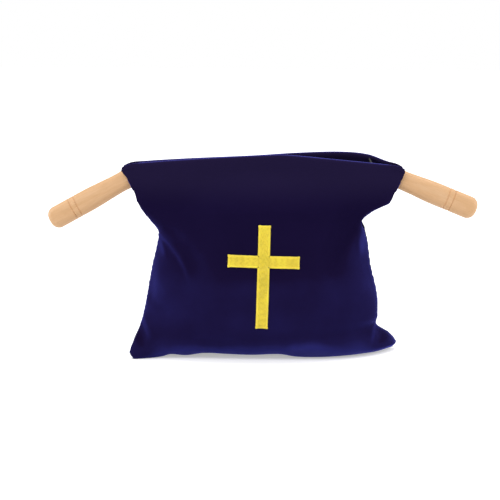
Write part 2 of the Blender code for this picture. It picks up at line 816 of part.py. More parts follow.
def tang(name, end, look):
    """Flat tab on the hinge pin, with the shank that is driven into the handle."""
    half = TAB_HEIGHT / 2
    shoulder = HANDLE_START - GAP
    room = FORK_INNER - FORK_WEB - GAP - TAB_CLEARANCE
    collar, step = shoulder - COLLAR_LENGTH, half - COLLAR_STEP
    points = [(shoulder, step), (collar, step)] + half_round(min(half, room))
    points += [(collar, -step), (shoulder, -step)]
    body = outline(name, points, TAB_THICKNESS, look=look)
    cut(body, pin_drill(name))
    shank_end = HANDLE_START + SHANK_LENGTH - GAP
    shank = rod(name + "_shank", SHANK_RADIUS, shoulder - SHANK_ROOT, shank_end, "X", CUTTERS)
    cut(body, shank, "UNION")
    return placed(solid(body), handle_frame(end))


def handle(name, end, look):
    """Turned wooden handle, drilled at its inner end for the tang."""
    body = turned(name, handle_profile(), look, HANDLE_STEPS)
    return placed(solid(body), handle_frame(end) @ Matrix.Rotation(math.pi / 2, 4, "Y"))


def clear_scene():
    for item in list(bpy.data.objects):
        bpy.data.objects.remove(item)


clear_scene()
BAG = collection("offertory_bag")
CUTTERS = collection("cutters")

NAVY = material("navy_velvet", (0.020, 0.014, 0.100), 0.85)
LINING_LOOK = material("dark_lining", (0.010, 0.009, 0.030), 0.60)
THREAD = material("seam_tape", (0.015, 0.012, 0.060), 0.90)
GOLD_FILL = material("yellow_fill", (0.78, 0.62, 0.06), 0.50)
GOLD_BORDER = material("yellow_border", (0.90, 0.74, 0.09), 0.45)
SPRING = material("spring_wire", (0.030, 0.030, 0.034), 0.40, 1.0)
STEEL = material("steel", (0.55, 0.55, 0.56), 0.35, 1.0)
WOOD = material("pale_wood", (0.80, 0.52, 0.29), 0.50)

panel("velvet_front", FRONT, 0.0, VELVET, NAVY, True)
panel("velvet_back", BACK, 0.0, VELVET, NAVY, True)
panel("lining_front", FRONT, VELVET + GAP, LINING, LINING_LOOK, False)
panel("lining_back", BACK, VELVET + GAP, LINING, LINING_LOOK, False)
edge_strip("left_side_seam", LEFT, THREAD)
edge_strip("right_side_seam", RIGHT, THREAD)
bottom_strip("bottom_seam", THREAD)
hem("front_hem", FRONT, NAVY)
hem("back_hem", BACK, NAVY)
bow("front_bow", FRONT, SPRING)
bow("back_bow", BACK, SPRING)
cross_piece("cross_fill", GOLD_FILL, True)
cross_piece("cross_border", GOLD_BORDER, False)
for end, word in ((LEFT, "left"), (RIGHT, "right")):
    fork(word + "_fork", end, STEEL)
    nut(word + "_stud_nut", end, STEEL)
    hinge_pin(word + "_hinge_pin", end, STEEL)
    tang(word + "_tang", end, STEEL)
    handle(word + "_handle", end, WOOD)
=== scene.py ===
"""Offertory bag in navy velvet.

Run as a script in Blender. It builds the velvet, lining, seams, embroidery and turned handles
round the CAD bodies, gives every piece its finish, and sets a plain studio round the bag.
"""

import json
import math

import bmesh
import bpy
import numpy as np
from mathutils import Matrix, Vector

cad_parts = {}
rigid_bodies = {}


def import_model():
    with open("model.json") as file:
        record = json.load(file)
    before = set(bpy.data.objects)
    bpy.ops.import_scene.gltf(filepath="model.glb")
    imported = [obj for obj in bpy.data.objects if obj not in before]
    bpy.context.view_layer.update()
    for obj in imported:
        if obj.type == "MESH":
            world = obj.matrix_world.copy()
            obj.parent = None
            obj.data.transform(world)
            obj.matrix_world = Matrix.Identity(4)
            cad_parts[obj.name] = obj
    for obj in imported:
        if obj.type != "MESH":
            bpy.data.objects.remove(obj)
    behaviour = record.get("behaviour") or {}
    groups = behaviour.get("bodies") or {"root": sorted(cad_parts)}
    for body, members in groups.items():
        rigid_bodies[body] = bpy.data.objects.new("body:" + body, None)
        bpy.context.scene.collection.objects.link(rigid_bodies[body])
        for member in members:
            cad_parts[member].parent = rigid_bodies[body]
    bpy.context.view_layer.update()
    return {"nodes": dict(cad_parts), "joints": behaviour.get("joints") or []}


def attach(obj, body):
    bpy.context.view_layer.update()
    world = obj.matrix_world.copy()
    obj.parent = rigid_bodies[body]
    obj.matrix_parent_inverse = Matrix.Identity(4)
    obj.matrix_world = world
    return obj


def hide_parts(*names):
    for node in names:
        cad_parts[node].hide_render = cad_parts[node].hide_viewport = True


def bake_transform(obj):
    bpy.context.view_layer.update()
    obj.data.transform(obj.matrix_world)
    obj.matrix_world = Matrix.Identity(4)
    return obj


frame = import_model()

bl_info = {
    "name": "Velvet offertory bag",
    "version": (1, 0, 0),
    "blender": (4, 5, 0),
    "location": "3D View > Sidebar > Offertory bag",
    "description": "Builds a velvet collection bag with a hinged mouth and turned handles",
    "category": "Add Mesh",
}

FRONT, BACK = -1, 1
LEFT, RIGHT = -1, 1
# Air between two cloths that lie on each other.
GAP = 0.0003
# Rows and columns of a velvet panel, and how many layers of velvet the hem is thick at its foot.
WALL_ROWS, TURN_ROWS, FLOOR_ROWS, PANEL_COLUMNS = 150, 22, 16, 181
HEM_FOOT_LAYERS = 2.6
# Towards its ends the hem's inner leg gets shorter, and where the handles pass the roll is pressed
# flatter: place as a share of the half width, the stretch it takes, and what is taken away.
SHORTER_LEG = (0.72, 0.12, 0.85)
PRESSED_ROLL = (0.84, 0.09, 0.75)
# Air between the hem's inner leg and the hem's foot.
LEG_SHORT_OF_FOOT = 0.0006

# The bag's shape at rest, level by level from the floor to the mouth's corners:
# height, left reach, right reach, front depth, back depth.
LEVELS = np.array((
    (0.000, 0.1295, 0.1375, 0.0440, 0.0440),
    (0.006, 0.1334, 0.1414, 0.0440, 0.0440),
    (0.018, 0.1302, 0.1332, 0.0447, 0.0447),
    (0.028, 0.1258, 0.1202, 0.0460, 0.0460),
    (0.040, 0.1222, 0.1200, 0.0472, 0.0474),
    (0.062, 0.1180, 0.1186, 0.0482, 0.0498),
    (0.090, 0.1130, 0.1115, 0.0458, 0.0468),
    (0.112, 0.1080, 0.1080, 0.0412, 0.0424),
    (0.124, 0.1072, 0.1050, 0.0380, 0.0394),
    (0.135, 0.1150, 0.1022, 0.0345, 0.0362),
    (0.145, 0.1227, 0.1120, 0.0310, 0.0330),
    (0.156, 0.1283, 0.1290, 0.0268, 0.0290),
    (0.168, 0.1316, 0.1340, 0.0220, 0.0245),
    (0.183, 0.1388, 0.1407, 0.0168, 0.0178),
    (0.190, 0.1430, 0.1430, 0.0145, 0.0145),
    (0.195, 0.1434, 0.1434, 0.0130, 0.0130),
))
RIM_HEIGHT = LEVELS[-1][0]

# Crest of each rim: place along X, half opening of the mouth, height.
FRONT_RIM = np.array((
    (-0.1445, 0.0120, 0.1915),
    (-0.137, 0.0138, 0.1950),
    (-0.128, 0.0136, 0.1966),
    (-0.070, 0.0100, 0.2010),
    (0.000, 0.0086, 0.2052),
    (0.022, 0.0086, 0.2058),
    (0.070, 0.0095, 0.2020),
    (0.128, 0.0136, 0.1970),
    (0.138, 0.0138, 0.1955),
    (0.1450, 0.0120, 0.1918),
))
BACK_RIM = np.array((
    (-0.1445, 0.0120, 0.1915),
    (-0.137, 0.0138, 0.1950),
    (-0.128, 0.0136, 0.1966),
    (-0.080, 0.0100, 0.2003),
    (-0.010, 0.0100, 0.2040),
    (0.035, 0.0210, 0.2063),
    (0.080, 0.0320, 0.2070),
    (0.108, 0.0270, 0.2050),
    (0.128, 0.0180, 0.1985),
    (0.138, 0.0142, 0.1960),
    (0.1450, 0.0120, 0.1922),
))

# How far the bottom edge lifts off the floor along the front and the back: place, front, back.
EDGE_LIFT = np.array((
    (-0.130, 0.0005, 0.0005),
    (-0.100, 0.0006, 0.0000),
    (-0.092, 0.0020, 0.0002),
    (-0.076, 0.0010, 0.0006),
    (-0.057, 0.0040, 0.0016),
    (-0.035, 0.0034, 0.0022),
    (-0.008, 0.0028, 0.0018),
    (0.019, 0.0036, 0.0010),
    (0.034, 0.0014, 0.0002),
    (0.060, 0.0010, 0.0014),
    (0.087, 0.0018, 0.0024),
    (0.110, 0.0022, 0.0010),
    (0.135, 0.0008, 0.0012),
))


class BagSizes(bpy.types.PropertyGroup):
    """Sizes of the cloth parts."""

    velvet: bpy.props.FloatProperty(
        name="Velvet", description="Thickness of the velvet", default=0.0013, unit="LENGTH"
    )
    hem_depth: bpy.props.FloatProperty(
        name="Hem depth", description="Depth of the folded hem", default=0.014, unit="LENGTH"
    )
    fold_radius: bpy.props.FloatProperty(
        name="Hem roll", description="Radius of the hem's roll over the wire", default=0.0031, unit="LENGTH"
    )
    floor_radius: bpy.props.FloatProperty(
        name="Bottom turn", description="Radius of the turn into the bottom", default=0.022, unit="LENGTH"
    )
    panel_width: bpy.props.FloatProperty(
        name="Panel width", description="Width that each panel is cut to", default=0.290, unit="LENGTH"
    )
    panel_length: bpy.props.FloatProperty(
        name="Panel length", description="Length that each panel is cut to", default=0.268, unit="LENGTH"
    )


class BagColours(bpy.types.PropertyGroup):
    """Colours of the materials, in linear values."""

    velvet: bpy.props.FloatVectorProperty(
        name="Velvet", description="Body colour of the pile", subtype="COLOR", size=3,
        default=(0.0088, 0.0052, 0.031),
    )
    # Painted sheen: the blue that the velvet's base colour takes where the cloth turns away, on fold crests
    # and towards the floor.
    velvet_painted_sheen: bpy.props.FloatVectorProperty(
        name="Velvet painted sheen", description="Colour of the pile where the cloth turns", subtype="COLOR", size=3,
        default=(0.025, 0.024, 0.155),
    )
    velvet_sheen: bpy.props.FloatVectorProperty(
        name="Velvet sheen", description="Colour of the pile where it turns away", subtype="COLOR", size=3,
        default=(0.20, 0.21, 1.0),
    )
    thread: bpy.props.FloatVectorProperty(
        name="Thread", description="Colour of the embroidery thread", subtype="COLOR", size=3,
        default=(0.83, 0.66, 0.055),
    )
    wood: bpy.props.FloatVectorProperty(
        name="Wood", description="Middle tone of the handles", subtype="COLOR", size=3,
        default=(0.66, 0.405, 0.220),
    )


class StudioSizes(bpy.types.PropertyGroup):
    """Place of the camera and width of its view."""

    distance: bpy.props.FloatProperty(
        name="Distance", description="Distance of the camera", default=1.6, unit="LENGTH"
    )
    elevation: bpy.props.FloatProperty(
        name="Elevation", description="Height of the camera over the horizon", default=math.radians(8),
        subtype="ANGLE",
    )
    roll: bpy.props.FloatProperty(
        name="Roll", description="Tilt of the camera", default=math.radians(0.5), subtype="ANGLE"
    )
    width: bpy.props.FloatProperty(
        name="Width", description="Width of the view at the bag", default=0.514, unit="LENGTH"
    )


def sizes():
    return bpy.context.scene.offertory_sizes


def colours():
    return bpy.context.scene.offertory_colours


# Curves and the bag's surface


def through(points, place, column):
    """Smooth curve through rows of points, read at places along their first column."""
    xs, ys = points[:, 0], points[:, column]
    slopes = np.empty_like(ys)
    slopes[1:-1] = (ys[2:] - ys[:-2]) / (xs[2:] - xs[:-2])
    slopes[0] = (ys[1] - ys[0]) / (xs[1] - xs[0])
    slopes[-1] = (ys[-1] - ys[-2]) / (xs[-1] - xs[-2])
    place = np.clip(place, xs[0], xs[-1])
    i = np.clip(np.searchsorted(xs, place, side="right") - 1, 0, len(xs) - 2)
    step = xs[i + 1] - xs[i]
    t = (place - xs[i]) / step
    rise = ys[i + 1] - ys[i]
    start, end = slopes[i] * step, slopes[i + 1] * step
    return ys[i] + t * start + t * t * (3 * rise - 2 * start - end) + t**3 * (start + end - 2 * rise)


def ease(t):
    t = np.clip(t, 0.0, 1.0)
    return t * t * (3 - 2 * t)


def hem_foot():
    """Level of the hem's lower edge."""
    return RIM_HEIGHT - sizes().hem_depth


class Surface:
    """The bag's outer face on one side, read at columns u that run from -1 to 1 between the seams.

    Its kinds of row are a level on the walls, an angle of the turn into the bottom, and on the floor a
    share of the way from the bottom seam to that turn. The inset is a depth into the cloth.
    """

    roundness = 2.6
    fullness = 0.60
    body_from = 0.140
    slit_from = 0.169
    seam_top = 0.157
    seam_half_width = 0.0003
    corner_end_share = 0.04
    twist = {LEFT: 0.037, RIGHT: 0.028}
    twist_from = 0.050
    ear_lift = 0.001
    ear_from = 0.80
    folds_from = 0.004
    folds_full_over = 0.02
    deepest_fold = 0.6
    flat_floor = 0.3
    # How closely each effect keeps to the seams, or away from them, as a power of u.
    twist_power, slit_power, lift_power, fold_power = 4, 8, 6, 12

    def __init__(self, side):
        self.side = side
        self.turn = sizes().floor_radius
        self.rim = FRONT_RIM if side == FRONT else BACK_RIM
        self.depth_column = 3 if side == FRONT else 4
        self.lift_column = 1 if side == FRONT else 2

    def x(self, u, level, inset):
        left = through(LEVELS, level, 1) - inset
        right = through(LEVELS, level, 2) - inset
        return 0.5 * (right - left) + 0.5 * (right + left) * u

    def height(self, x, level):
        """Height of a level above the floor, where the rim over it has a height of its own."""
        share = (level - self.turn) / (RIM_HEIGHT - self.turn)
        return self.turn + share * (through(self.rim, x, 2) - self.turn)

    def twisted(self, x, y, z, u, level):
        low = ease((self.twist_from - level) / self.twist_from)
        turn = np.where(u < 0, self.twist[LEFT], self.twist[RIGHT])
        y = y + turn * low * np.sign(u) * np.abs(u) ** self.twist_power
        z = z + self.ear_lift * low * ease((u - self.ear_from) / (1 - self.ear_from))
        return np.stack(np.broadcast_arrays(x, y, z), -1)

    def at(self, kind, u, value, inset=0.0):
        """A point of the finished cloth: its plain shape, pushed by the folds and then settled."""
        point = getattr(self, kind)(u, value, inset)
        x, y, z = np.moveaxis(point, -1, 0)
        room = np.abs(y - self.middle(kind, u, value))
        shown = ease((z - self.folds_from) / self.folds_full_over) * (1 - np.abs(u) ** self.fold_power)
        push = np.maximum(fold_depth(self.side, x, z) * shown, -self.deepest_fold * room)
        point[..., 1] += self.side * push
        point = point + Settling.at(self.side, u, Settling.row_of(kind, value))
        point[..., 2] = np.maximum(point[..., 2], inset)
        return point

    def rows(self, u, levels, turns, floors):
        """Rows of the finished cloth down the wall, round the turn and in to the bottom seam."""
        rows = [self.at("walls", u, level) for level in levels]
        rows += [self.at("floor_turn", u, math.pi / 2 * k / turns) for k in range(1, turns + 1)]
        return rows + [self.at("floor", u, 1 - k / floors) for k in range(1, floors + 1)]

    def middle(self, kind, u, value):
        """Where the seam's plane lies along Y, halfway between the two panels."""
        ours, theirs = (getattr(Surface(side), kind)(u, value, 0.0) for side in (self.side, -self.side))
        return (ours[..., 1] + theirs[..., 1]) / 2

    def full(self, u):
        return np.maximum(1 - np.abs(u) ** self.roundness, 0.0) ** self.fullness

    def lifted(self, x, angle):
        """How far the bottom edge stands off the floor at an angle round its turn."""
        return through(EDGE_LIFT, x, self.lift_column) * ease(angle / (math.pi / 2))

    def walls(self, u, level, inset):
        x = self.x(u, level, inset)
        depth = through(LEVELS, level, self.depth_column)
        edge = self.seam_half_width
        body = edge + (depth - inset - edge) * self.full(u)
        mouth = through(self.rim, x, 1) - inset
        share = ease((level - self.body_from) / (hem_foot() - self.body_from))
        slit = ease((level - self.seam_top) / (self.slit_from - self.seam_top))
        y = body + (mouth - body) * np.maximum(share, slit * np.abs(u) ** self.slit_power)
        return self.twisted(x, self.side * y, self.height(x, level), u, level)

    def floor_turn(self, u, angle, inset):
        level = self.turn * (1 - np.sin(angle))
        x = self.x(u, level, inset)
        full = self.full(u)
        full = full + self.corner_end_share * np.sin(angle) * (1 - full)
        depth = through(LEVELS, self.turn, self.depth_column)
        reach = depth - self.turn + (self.turn - inset) * np.cos(angle)
        y = self.seam_half_width + (reach - self.seam_half_width) * full
        z = self.turn - (self.turn - inset) * np.sin(angle) + self.lifted(x, angle)
        return self.twisted(x, self.side * y, z, u, level)

    def floor(self, u, share, inset):
        out = self.floor_turn(u, math.pi / 2, inset)
        seam = self.twisted(out[..., 0], self.side * self.seam_half_width, out[..., 2], u, 0.0)
        seam[..., 2] = out[..., 2] - self.lifted(out[..., 0], math.pi / 2) * (1 - u**self.lift_power)
        point = seam + (out - seam) * share
        rise = ease((share - self.flat_floor) / (1 - self.flat_floor))
        point[..., 2] = seam[..., 2] + (out[..., 2] - seam[..., 2]) * rise
        return point


def columns(count):
    """Columns from edge to edge, closer together towards the seams."""
    return np.sin(np.linspace(-math.pi / 2, math.pi / 2, count))


class Settling:
    """How far the cloth moves as it settles under its own weight between the hem and the floor."""

    cols = 97
    walls, turns, floors = 64, 10, 8
    frames = 24
    weight = 0.25
    ease_in_cloth = 0.016
    hold = 0.06
    edge_hold = 0.35
    edge_cols, slit_cols, hem_rows = 3, 6, 2
    farthest = 0.0050
    smoothing = 14
    thickness = 0.001
    stand_off = 0.0018
    moves = None

    @classmethod
    def row_of(cls, kind, value):
        """Row of the settled grid for a level on the walls, an angle of the turn or a share of the floor."""
        value = np.asarray(value)
        if kind == "walls":
            top, turn = hem_foot(), sizes().floor_radius
            return (top - value) / (top - turn) * (cls.walls - 1)
        if kind == "floor_turn":
            return cls.walls - 1 + value / (math.pi / 2) * cls.turns
        return cls.walls - 1 + cls.turns + (1 - value) * cls.floors

    @classmethod
    def at(cls, side, u, row):
        """Movement of the cloth at columns u on given rows."""
        if cls.moves is None:
            return 0.0
        u, row = np.broadcast_arrays(np.asarray(u, float), np.asarray(row, float))
        col = (np.arcsin(np.clip(u, -1, 1)) / math.pi + 0.5) * (cls.cols - 1)
        field = cls.moves[side]
        last_row, last_col = field.shape[0] - 1, field.shape[1] - 1
        r = np.clip(row, 0, last_row).ravel()
        c = np.clip(col, 0, last_col).ravel()
        i = np.clip(np.floor(r).astype(int), 0, last_row - 1)
        j = np.clip(np.floor(c).astype(int), 0, last_col - 1)
        total = 0.0
        for k, weight in zip((-1, 0, 1, 2), cls.weights(r - i)):
            line = field[np.clip(i + k, 0, last_row)]
            for m, share in zip((-1, 0, 1, 2), cls.weights(c - j)):
                spot = line[np.arange(len(c)), np.clip(j + m, 0, last_col)]
                total = total + spot * (weight * share)[:, None]
        return (total * (row.ravel() > 0)[:, None]).reshape(*u.shape, 3)

    @staticmethod
    def weights(t):
        """Weights of four neighbours for a smooth reading between the middle two."""
        return (
            0.5 * (-t + 2 * t**2 - t**3),
            0.5 * (2 - 5 * t**2 + 3 * t**3),
            0.5 * (t + 4 * t**2 - 3 * t**3),
            0.5 * (-(t**2) + t**3),
        )

    @classmethod
    def sewn(cls):
        """Both panels as one cloth: its points, its faces, each grid place's point and the open rows."""
        u = columns(cls.cols)
        levels = np.linspace(hem_foot(), sizes().floor_radius, cls.walls)
        front, back = (np.array(Surface(s).rows(u, levels, cls.turns, cls.floors)) for s in (FRONT, BACK))
        rows, cols = front.shape[:2]
        closed = np.ones(rows, bool)
        closed[: cls.walls] = levels < Surface.seam_top
        seams = np.ix_(closed, (0, cols - 1))
        middle = (front + back) / 2
        for grid in (front, back):
            grid[seams] = middle[seams]
            grid[-1] = middle[-1]
        index = np.arange(2 * rows * cols).reshape(2, rows, cols)
        index[1][seams] = index[0][seams]
        index[1, -1] = index[0, -1]
        used, index = np.unique(index, return_inverse=True)
        index = index.reshape(2, rows, cols)
        start = np.concatenate([front.reshape(-1, 3), back.reshape(-1, 3)])[used]
        quads = np.stack([index[:, :-1, :-1], index[:, :-1, 1:], index[:, 1:, 1:], index[:, 1:, :-1]], -1)
        faces = quads[0][..., ::-1].reshape(-1, 4).tolist() + quads[1].reshape(-1, 4).tolist()
        return start, faces, index, np.flatnonzero(~closed)

    @classmethod
    def pinned(cls, bag, index, slit):
        """Pin the cloth fully at the hem and the open slits, partly down the seams, lightly elsewhere."""
        held = np.full(len(bag.data.vertices), cls.hold)
        held[index[:, :, np.r_[: cls.edge_cols, -cls.edge_cols : 0]].ravel()] = cls.edge_hold
        held[index[:, : cls.hem_rows].ravel()] = 1.0
        held[index[:, slit][:, :, np.r_[: cls.slit_cols, -cls.slit_cols : 0]].ravel()] = 1.0
        group = bag.vertex_groups.new(name="held")
        for value in np.unique(held):
            group.add(np.flatnonzero(held == value).tolist(), float(value), "REPLACE")
        return group.name

    @classmethod
    def run(cls):
        """Sew both panels together as one cloth, let it settle on the floor and keep its movement."""
        start, faces, index, slit = cls.sewn()
        bag, ground = (add(name, bpy.data.meshes.new(name)) for name in ("settling", "settling_ground"))
        bag.data.from_pydata(start.tolist(), [], faces)
        corners = [(x, y, -cls.stand_off) for x, y in ((-1, -1), (1, -1), (1, 1), (-1, 1))]
        ground.data.from_pydata(corners, [], [(0, 1, 2, 3)])
        pins = cls.pinned(bag, index, slit)
        ground.modifiers.new("ground", "COLLISION")
        ground.collision.thickness_outer = cls.thickness
        cloth = bag.modifiers.new("cloth", "CLOTH")
        settings = cloth.settings
        settings.quality = 6
        settings.mass = cls.weight / len(start)
        settings.tension_stiffness = 15.0
        settings.compression_stiffness = 15.0
        settings.shear_stiffness = 5.0
        settings.bending_stiffness = 4.0
        settings.vertex_group_mass = pins
        settings.pin_stiffness = 1.0
        settings.shrink_min = -cls.ease_in_cloth
        cloth.collision_settings.distance_min = cls.thickness
        cloth.point_cache.frame_end = cls.frames
        for step in range(1, cls.frames + 1):
            bpy.context.scene.frame_set(step)
        applied(bag)
        move = points(bag) - start
        far = np.linalg.norm(move, axis=1, keepdims=True)
        move *= cls.farthest * np.tanh(far / cls.farthest) / np.maximum(far, 1e-9)
        for piece in (bag, ground):
            bpy.data.objects.remove(piece)
        bpy.context.scene.frame_set(1)
        cls.moves = {side: cls.smoothed(move[grid]) for side, grid in zip((FRONT, BACK), index)}

    @classmethod
    def smoothed(cls, field):
        """Take the finest creases out of the movement, but not at its edges."""
        for _ in range(cls.smoothing):
            inner = field.copy()
            inner[1:-1, 1:-1] = (
                4 * field[1:-1, 1:-1]
                + 2 * (field[:-2, 1:-1] + field[2:, 1:-1] + field[1:-1, :-2] + field[1:-1, 2:])
                + field[:-2, :-2] + field[:-2, 2:] + field[2:, :-2] + field[2:, 2:]
            ) / 16
            field = inner
        return field


# Meshes


def add(name, data):
    piece = bpy.data.objects.new(name, data)
    bpy.context.scene.collection.objects.link(piece)
    return piece


def grid_mesh(name, grid, flip=False):
    """Open sheet of quads over a grid of points, with a UV map in metres along and down it."""
    rows, cols = grid.shape[:2]
    index = np.arange(rows * cols).reshape(rows, cols)
    quads = np.stack([index[:-1, :-1], index[:-1, 1:], index[1:, 1:], index[1:, :-1]], -1).reshape(-1, 4)
    if flip:
        quads = quads[:, ::-1]
    mesh = bpy.data.meshes.new(name)
    mesh.from_pydata(grid.reshape(-1, 3).tolist(), [], quads.tolist())
    across = np.concatenate([np.zeros((rows, 1)), np.linalg.norm(np.diff(grid, axis=1), axis=2).cumsum(1)], 1)
    across -= across[:, cols // 2][:, None]
    down = np.concatenate([np.zeros((1, cols)), np.linalg.norm(np.diff(grid, axis=0), axis=2).cumsum(0)], 0)
    uv = np.stack([across, -down], -1).reshape(-1, 2)
    layer = mesh.uv_layers.new(name="cloth")
    loops = np.empty(len(mesh.loops), int)
    mesh.loops.foreach_get("vertex_index", loops)
    layer.data.foreach_set("uv", uv[loops].astype(np.float32).ravel())
    mesh.shade_smooth()
    return mesh


def applied(piece):
    """Turn the piece's modifiers into plain mesh."""
    bpy.context.view_layer.update()
    mesh = bpy.data.meshes.new_from_object(piece.evaluated_get(bpy.context.evaluated_depsgraph_get()))
    piece.modifiers.clear()
    old = piece.data
    piece.data = mesh
    if old.users == 0:
        bpy.data.batch_remove([old])


def points(piece):
    mesh = piece.data
    values = np.empty(len(mesh.vertices) * 3, np.float32)
    mesh.vertices.foreach_get("co", values)
    return values.reshape(-1, 3)


def thickened(piece, thickness):
    """Give a sheet its thickness, and keep it from sinking into the floor."""
    wall = piece.modifiers.new("cloth_thickness", "SOLIDIFY")
    wall.thickness = thickness
    wall.offset = -1.0
    applied(piece)
    place = points(piece)
    place[:, 2] = np.maximum(place[:, 2], 0.0)
    piece.data.vertices.foreach_set("co", place.ravel())
    piece.data.update()


# Dressing the pieces


def pin_of(body):
    """Place of the joint that a body turns on."""
    return Vector(next(joint["pos_m"] for joint in frame["joints"] if joint["child"] == body))


def bends(piece):
    """Bake the panel's transform into its mesh."""
    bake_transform(piece)


def dressed(piece, look, slot, *nodes):
    """Give a piece its material, where it has none yet, and replace its CAD nodes. Its slot is not used."""
    if look:
        piece.data.materials.append(bpy.data.materials[look])
    if nodes:
        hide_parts(*nodes)


# Materials


class Nodes:
    """Short hand for building a material's node tree. An underscore in a socket's name is a space."""

    def __init__(self, name):
        self.material = bpy.data.materials.new(name)
        self.material.use_nodes = True
        self.tree = self.material.node_tree
        self.shader = self.tree.nodes["Principled BSDF"]

    def feed(self, socket, value):
        """Link an output to a socket, or set the socket's own value."""
        if isinstance(value, bpy.types.NodeSocket):
            self.tree.links.new(value, socket)
        else:
            socket.default_value = value

    def new(self, kind, **values):
        node = self.tree.nodes.new(kind)
        for key, value in values.items():
            socket = key.replace("_", " ")
            if socket in node.inputs:
                self.feed(node.inputs[socket], value)
            else:
                setattr(node, key, value)
        return node

    def finish(self, **values):
        for key, value in values.items():
            self.feed(self.shader.inputs[key.replace("_", " ")], value)
        return self.material

    def place(self, scale=(1, 1, 1), uv=None, move=(0, 0, 0)):
        source = self.new("ShaderNodeUVMap", uv_map=uv) if uv else self.new("ShaderNodeTexCoord")
        vector = source.outputs["UV" if uv else "Object"]
        return self.new("ShaderNodeMapping", Vector=vector, Location=move, Scale=scale).outputs["Vector"]

    def noise(self, vector, scale, detail=3.0, roughness=0.5):
        node = self.new("ShaderNodeTexNoise", Vector=vector, Scale=scale, Detail=detail, Roughness=roughness)
        return node.outputs["Fac"]

    def ramp(self, value, *stops):
        """Colours, or greys given as one number, between places along a value."""
        node = self.new("ShaderNodeValToRGB", Fac=value)
        elements = node.color_ramp.elements
        while len(elements) < len(stops):
            elements.new(0.5)
        for element, (place, colour) in zip(elements, stops):
            element.position = place
            element.color = (*(colour if isinstance(colour, tuple) else (colour,) * 3), 1.0)
        return node.outputs["Color"]

    def bump(self, height, strength, distance, **under):
        node = self.new("ShaderNodeBump", Height=height, Strength=strength, Distance=distance, **under)
        return node.outputs["Normal"]

    def math(self, operation, a, b):
        node = self.new("ShaderNodeMath", operation=operation)
        self.feed(node.inputs[0], a)
        self.feed(node.inputs[1], b)
        return node.outputs["Value"]

    def mixed(self, a, b, share):
        """The first value, with its share, and the second with the rest."""
        return self.math("ADD", self.math("MULTIPLY", a, share), self.math("MULTIPLY", b, 1 - share))


def tint(colour, factor):
    return tuple(min(c * factor, 1.0) for c in colour)


def velvet_material():
    """Dense pile: near black when seen straight on, blue where it turns away, partly from the shader's sheen
    and partly from painted sheen, and greyer up at the hem from painted light from above.
    """
    made = Nodes("navy_velvet")
    where = made.place()
    base, glow = colours().velvet, colours().velvet_painted_sheen
    lay = made.noise(where, 26.0, 4.0, 0.55)
    pile = made.noise(where, 2600.0, 2.0, 0.6)
    # The turned attribute holds painted sheen and painted shade, and the ramp below paints them into the base
    # colour.
    turned = made.new("ShaderNodeAttribute", attribute_name="turned").outputs["Fac"]
    shift = made.math("MULTIPLY", made.math("SUBTRACT", lay, 0.5), 0.35)
    most = 1.4  # the bluest value of the painted sheen in the cloth's turned attribute
    tones = made.ramp(
        made.math("MULTIPLY", made.math("ADD", turned, shift), 1 / most),
        (0.02 / most, tint(base, 0.88)),
        (0.28 / most, tuple(base)),
        (0.60 / most, tuple(0.78 * a + 0.22 * b for a, b in zip(base, glow))),
        (1.00 / most, tuple(glow)),
        (1.00, tuple(1.4 * c + 0.025 for c in glow)),
    )
    height = made.new("ShaderNodeSeparateXYZ", Vector=where).outputs["Z"]
    # Painted light from above: a grey lift added to the base colour towards the hem.
    greyer_from, greyer_to, painted_top_light = 0.150, 0.184, (0.0062, 0.0048, 0.0105, 1.0)
    upper = made.new(
        "ShaderNodeMapRange", interpolation_type="SMOOTHSTEP", Value=height, From_Min=greyer_from,
        From_Max=greyer_to,
    ).outputs["Result"]
    body = made.new("ShaderNodeMix", data_type="RGBA", blend_type="ADD", Factor=upper, A=tones, B=painted_top_light)
    brushed = made.bump(made.noise(made.place((1.0, 1.0, 0.35)), 60.0), 0.25, 0.0012)
    made.finish(
        Base_Color=body.outputs["Result"],
        Roughness=made.ramp(lay, (0.3, 0.80), (0.8, 0.95)),
        Specular_IOR_Level=0.0,
        Sheen_Weight=1.0,
        Sheen_Roughness=0.25,
        Sheen_Tint=(*colours().velvet_sheen, 1.0),
        Normal=made.bump(pile, 0.35, 0.0004, Normal=brushed),
    )


def lining_material():
    """Thin plain-woven lining with a slight satin sheen."""
    made = Nodes("dark_lining")
    where = made.place(uv="cloth")
    warp, weft = (
        made.new("ShaderNodeTexWave", wave_type="BANDS", bands_direction=way, Vector=where, Scale=700.0)
        for way in ("X", "Y")
    )
    weave = made.math("MULTIPLY", warp.outputs["Fac"], weft.outputs["Fac"])
    patch = made.noise(where, 30.0)
    made.finish(
        Base_Color=made.ramp(patch, (0.3, (0.010, 0.009, 0.028)), (0.8, (0.018, 0.016, 0.050))),
        Roughness=0.55,
        Sheen_Weight=0.25,
        Sheen_Tint=(0.25, 0.26, 0.80, 1.0),
        Normal=made.bump(weave, 0.4, 0.0003),
    )


def thread_material(name, brightness):
    """Twisted thread: light silky sheen, with the strand's twist as a fine bump."""
    made = Nodes(name)
    where = made.place()
    colour = tint(colours().thread, brightness)
    fine = made.noise(where, 1400.0, 2.0)
    shade = made.mixed(made.noise(where, 90.0), fine, 0.6)
    made.finish(
        Base_Color=made.ramp(shade, (0.30, tint(colour, 0.80)), (0.52, colour), (0.75, tint(colour, 1.14))),
        Roughness=made.ramp(fine, (0.3, 0.34), (0.8, 0.50)),
        Sheen_Weight=0.25,
        Sheen_Roughness=0.4,
        Specular_IOR_Level=0.35,
        Normal=made.bump(made.noise(where, 2400.0, 1.0), 0.5, 0.0002),
    )


def metal_material(name, patches, dark, light, roughest, metallic):
    """Metal with faint drawing marks and soft patches of tone."""
    made = Nodes(name)
    where = made.place()
    drawn = made.noise(where, 900.0, 2.0)
    made.finish(
        Base_Color=made.ramp(made.noise(where, patches), (0.3, dark), (0.8, light)),
        Roughness=made.ramp(drawn, (0.3, 0.44), (0.8, roughest)),
        Metallic=metallic,
        Normal=made.bump(drawn, 0.2, 0.0001),
    )


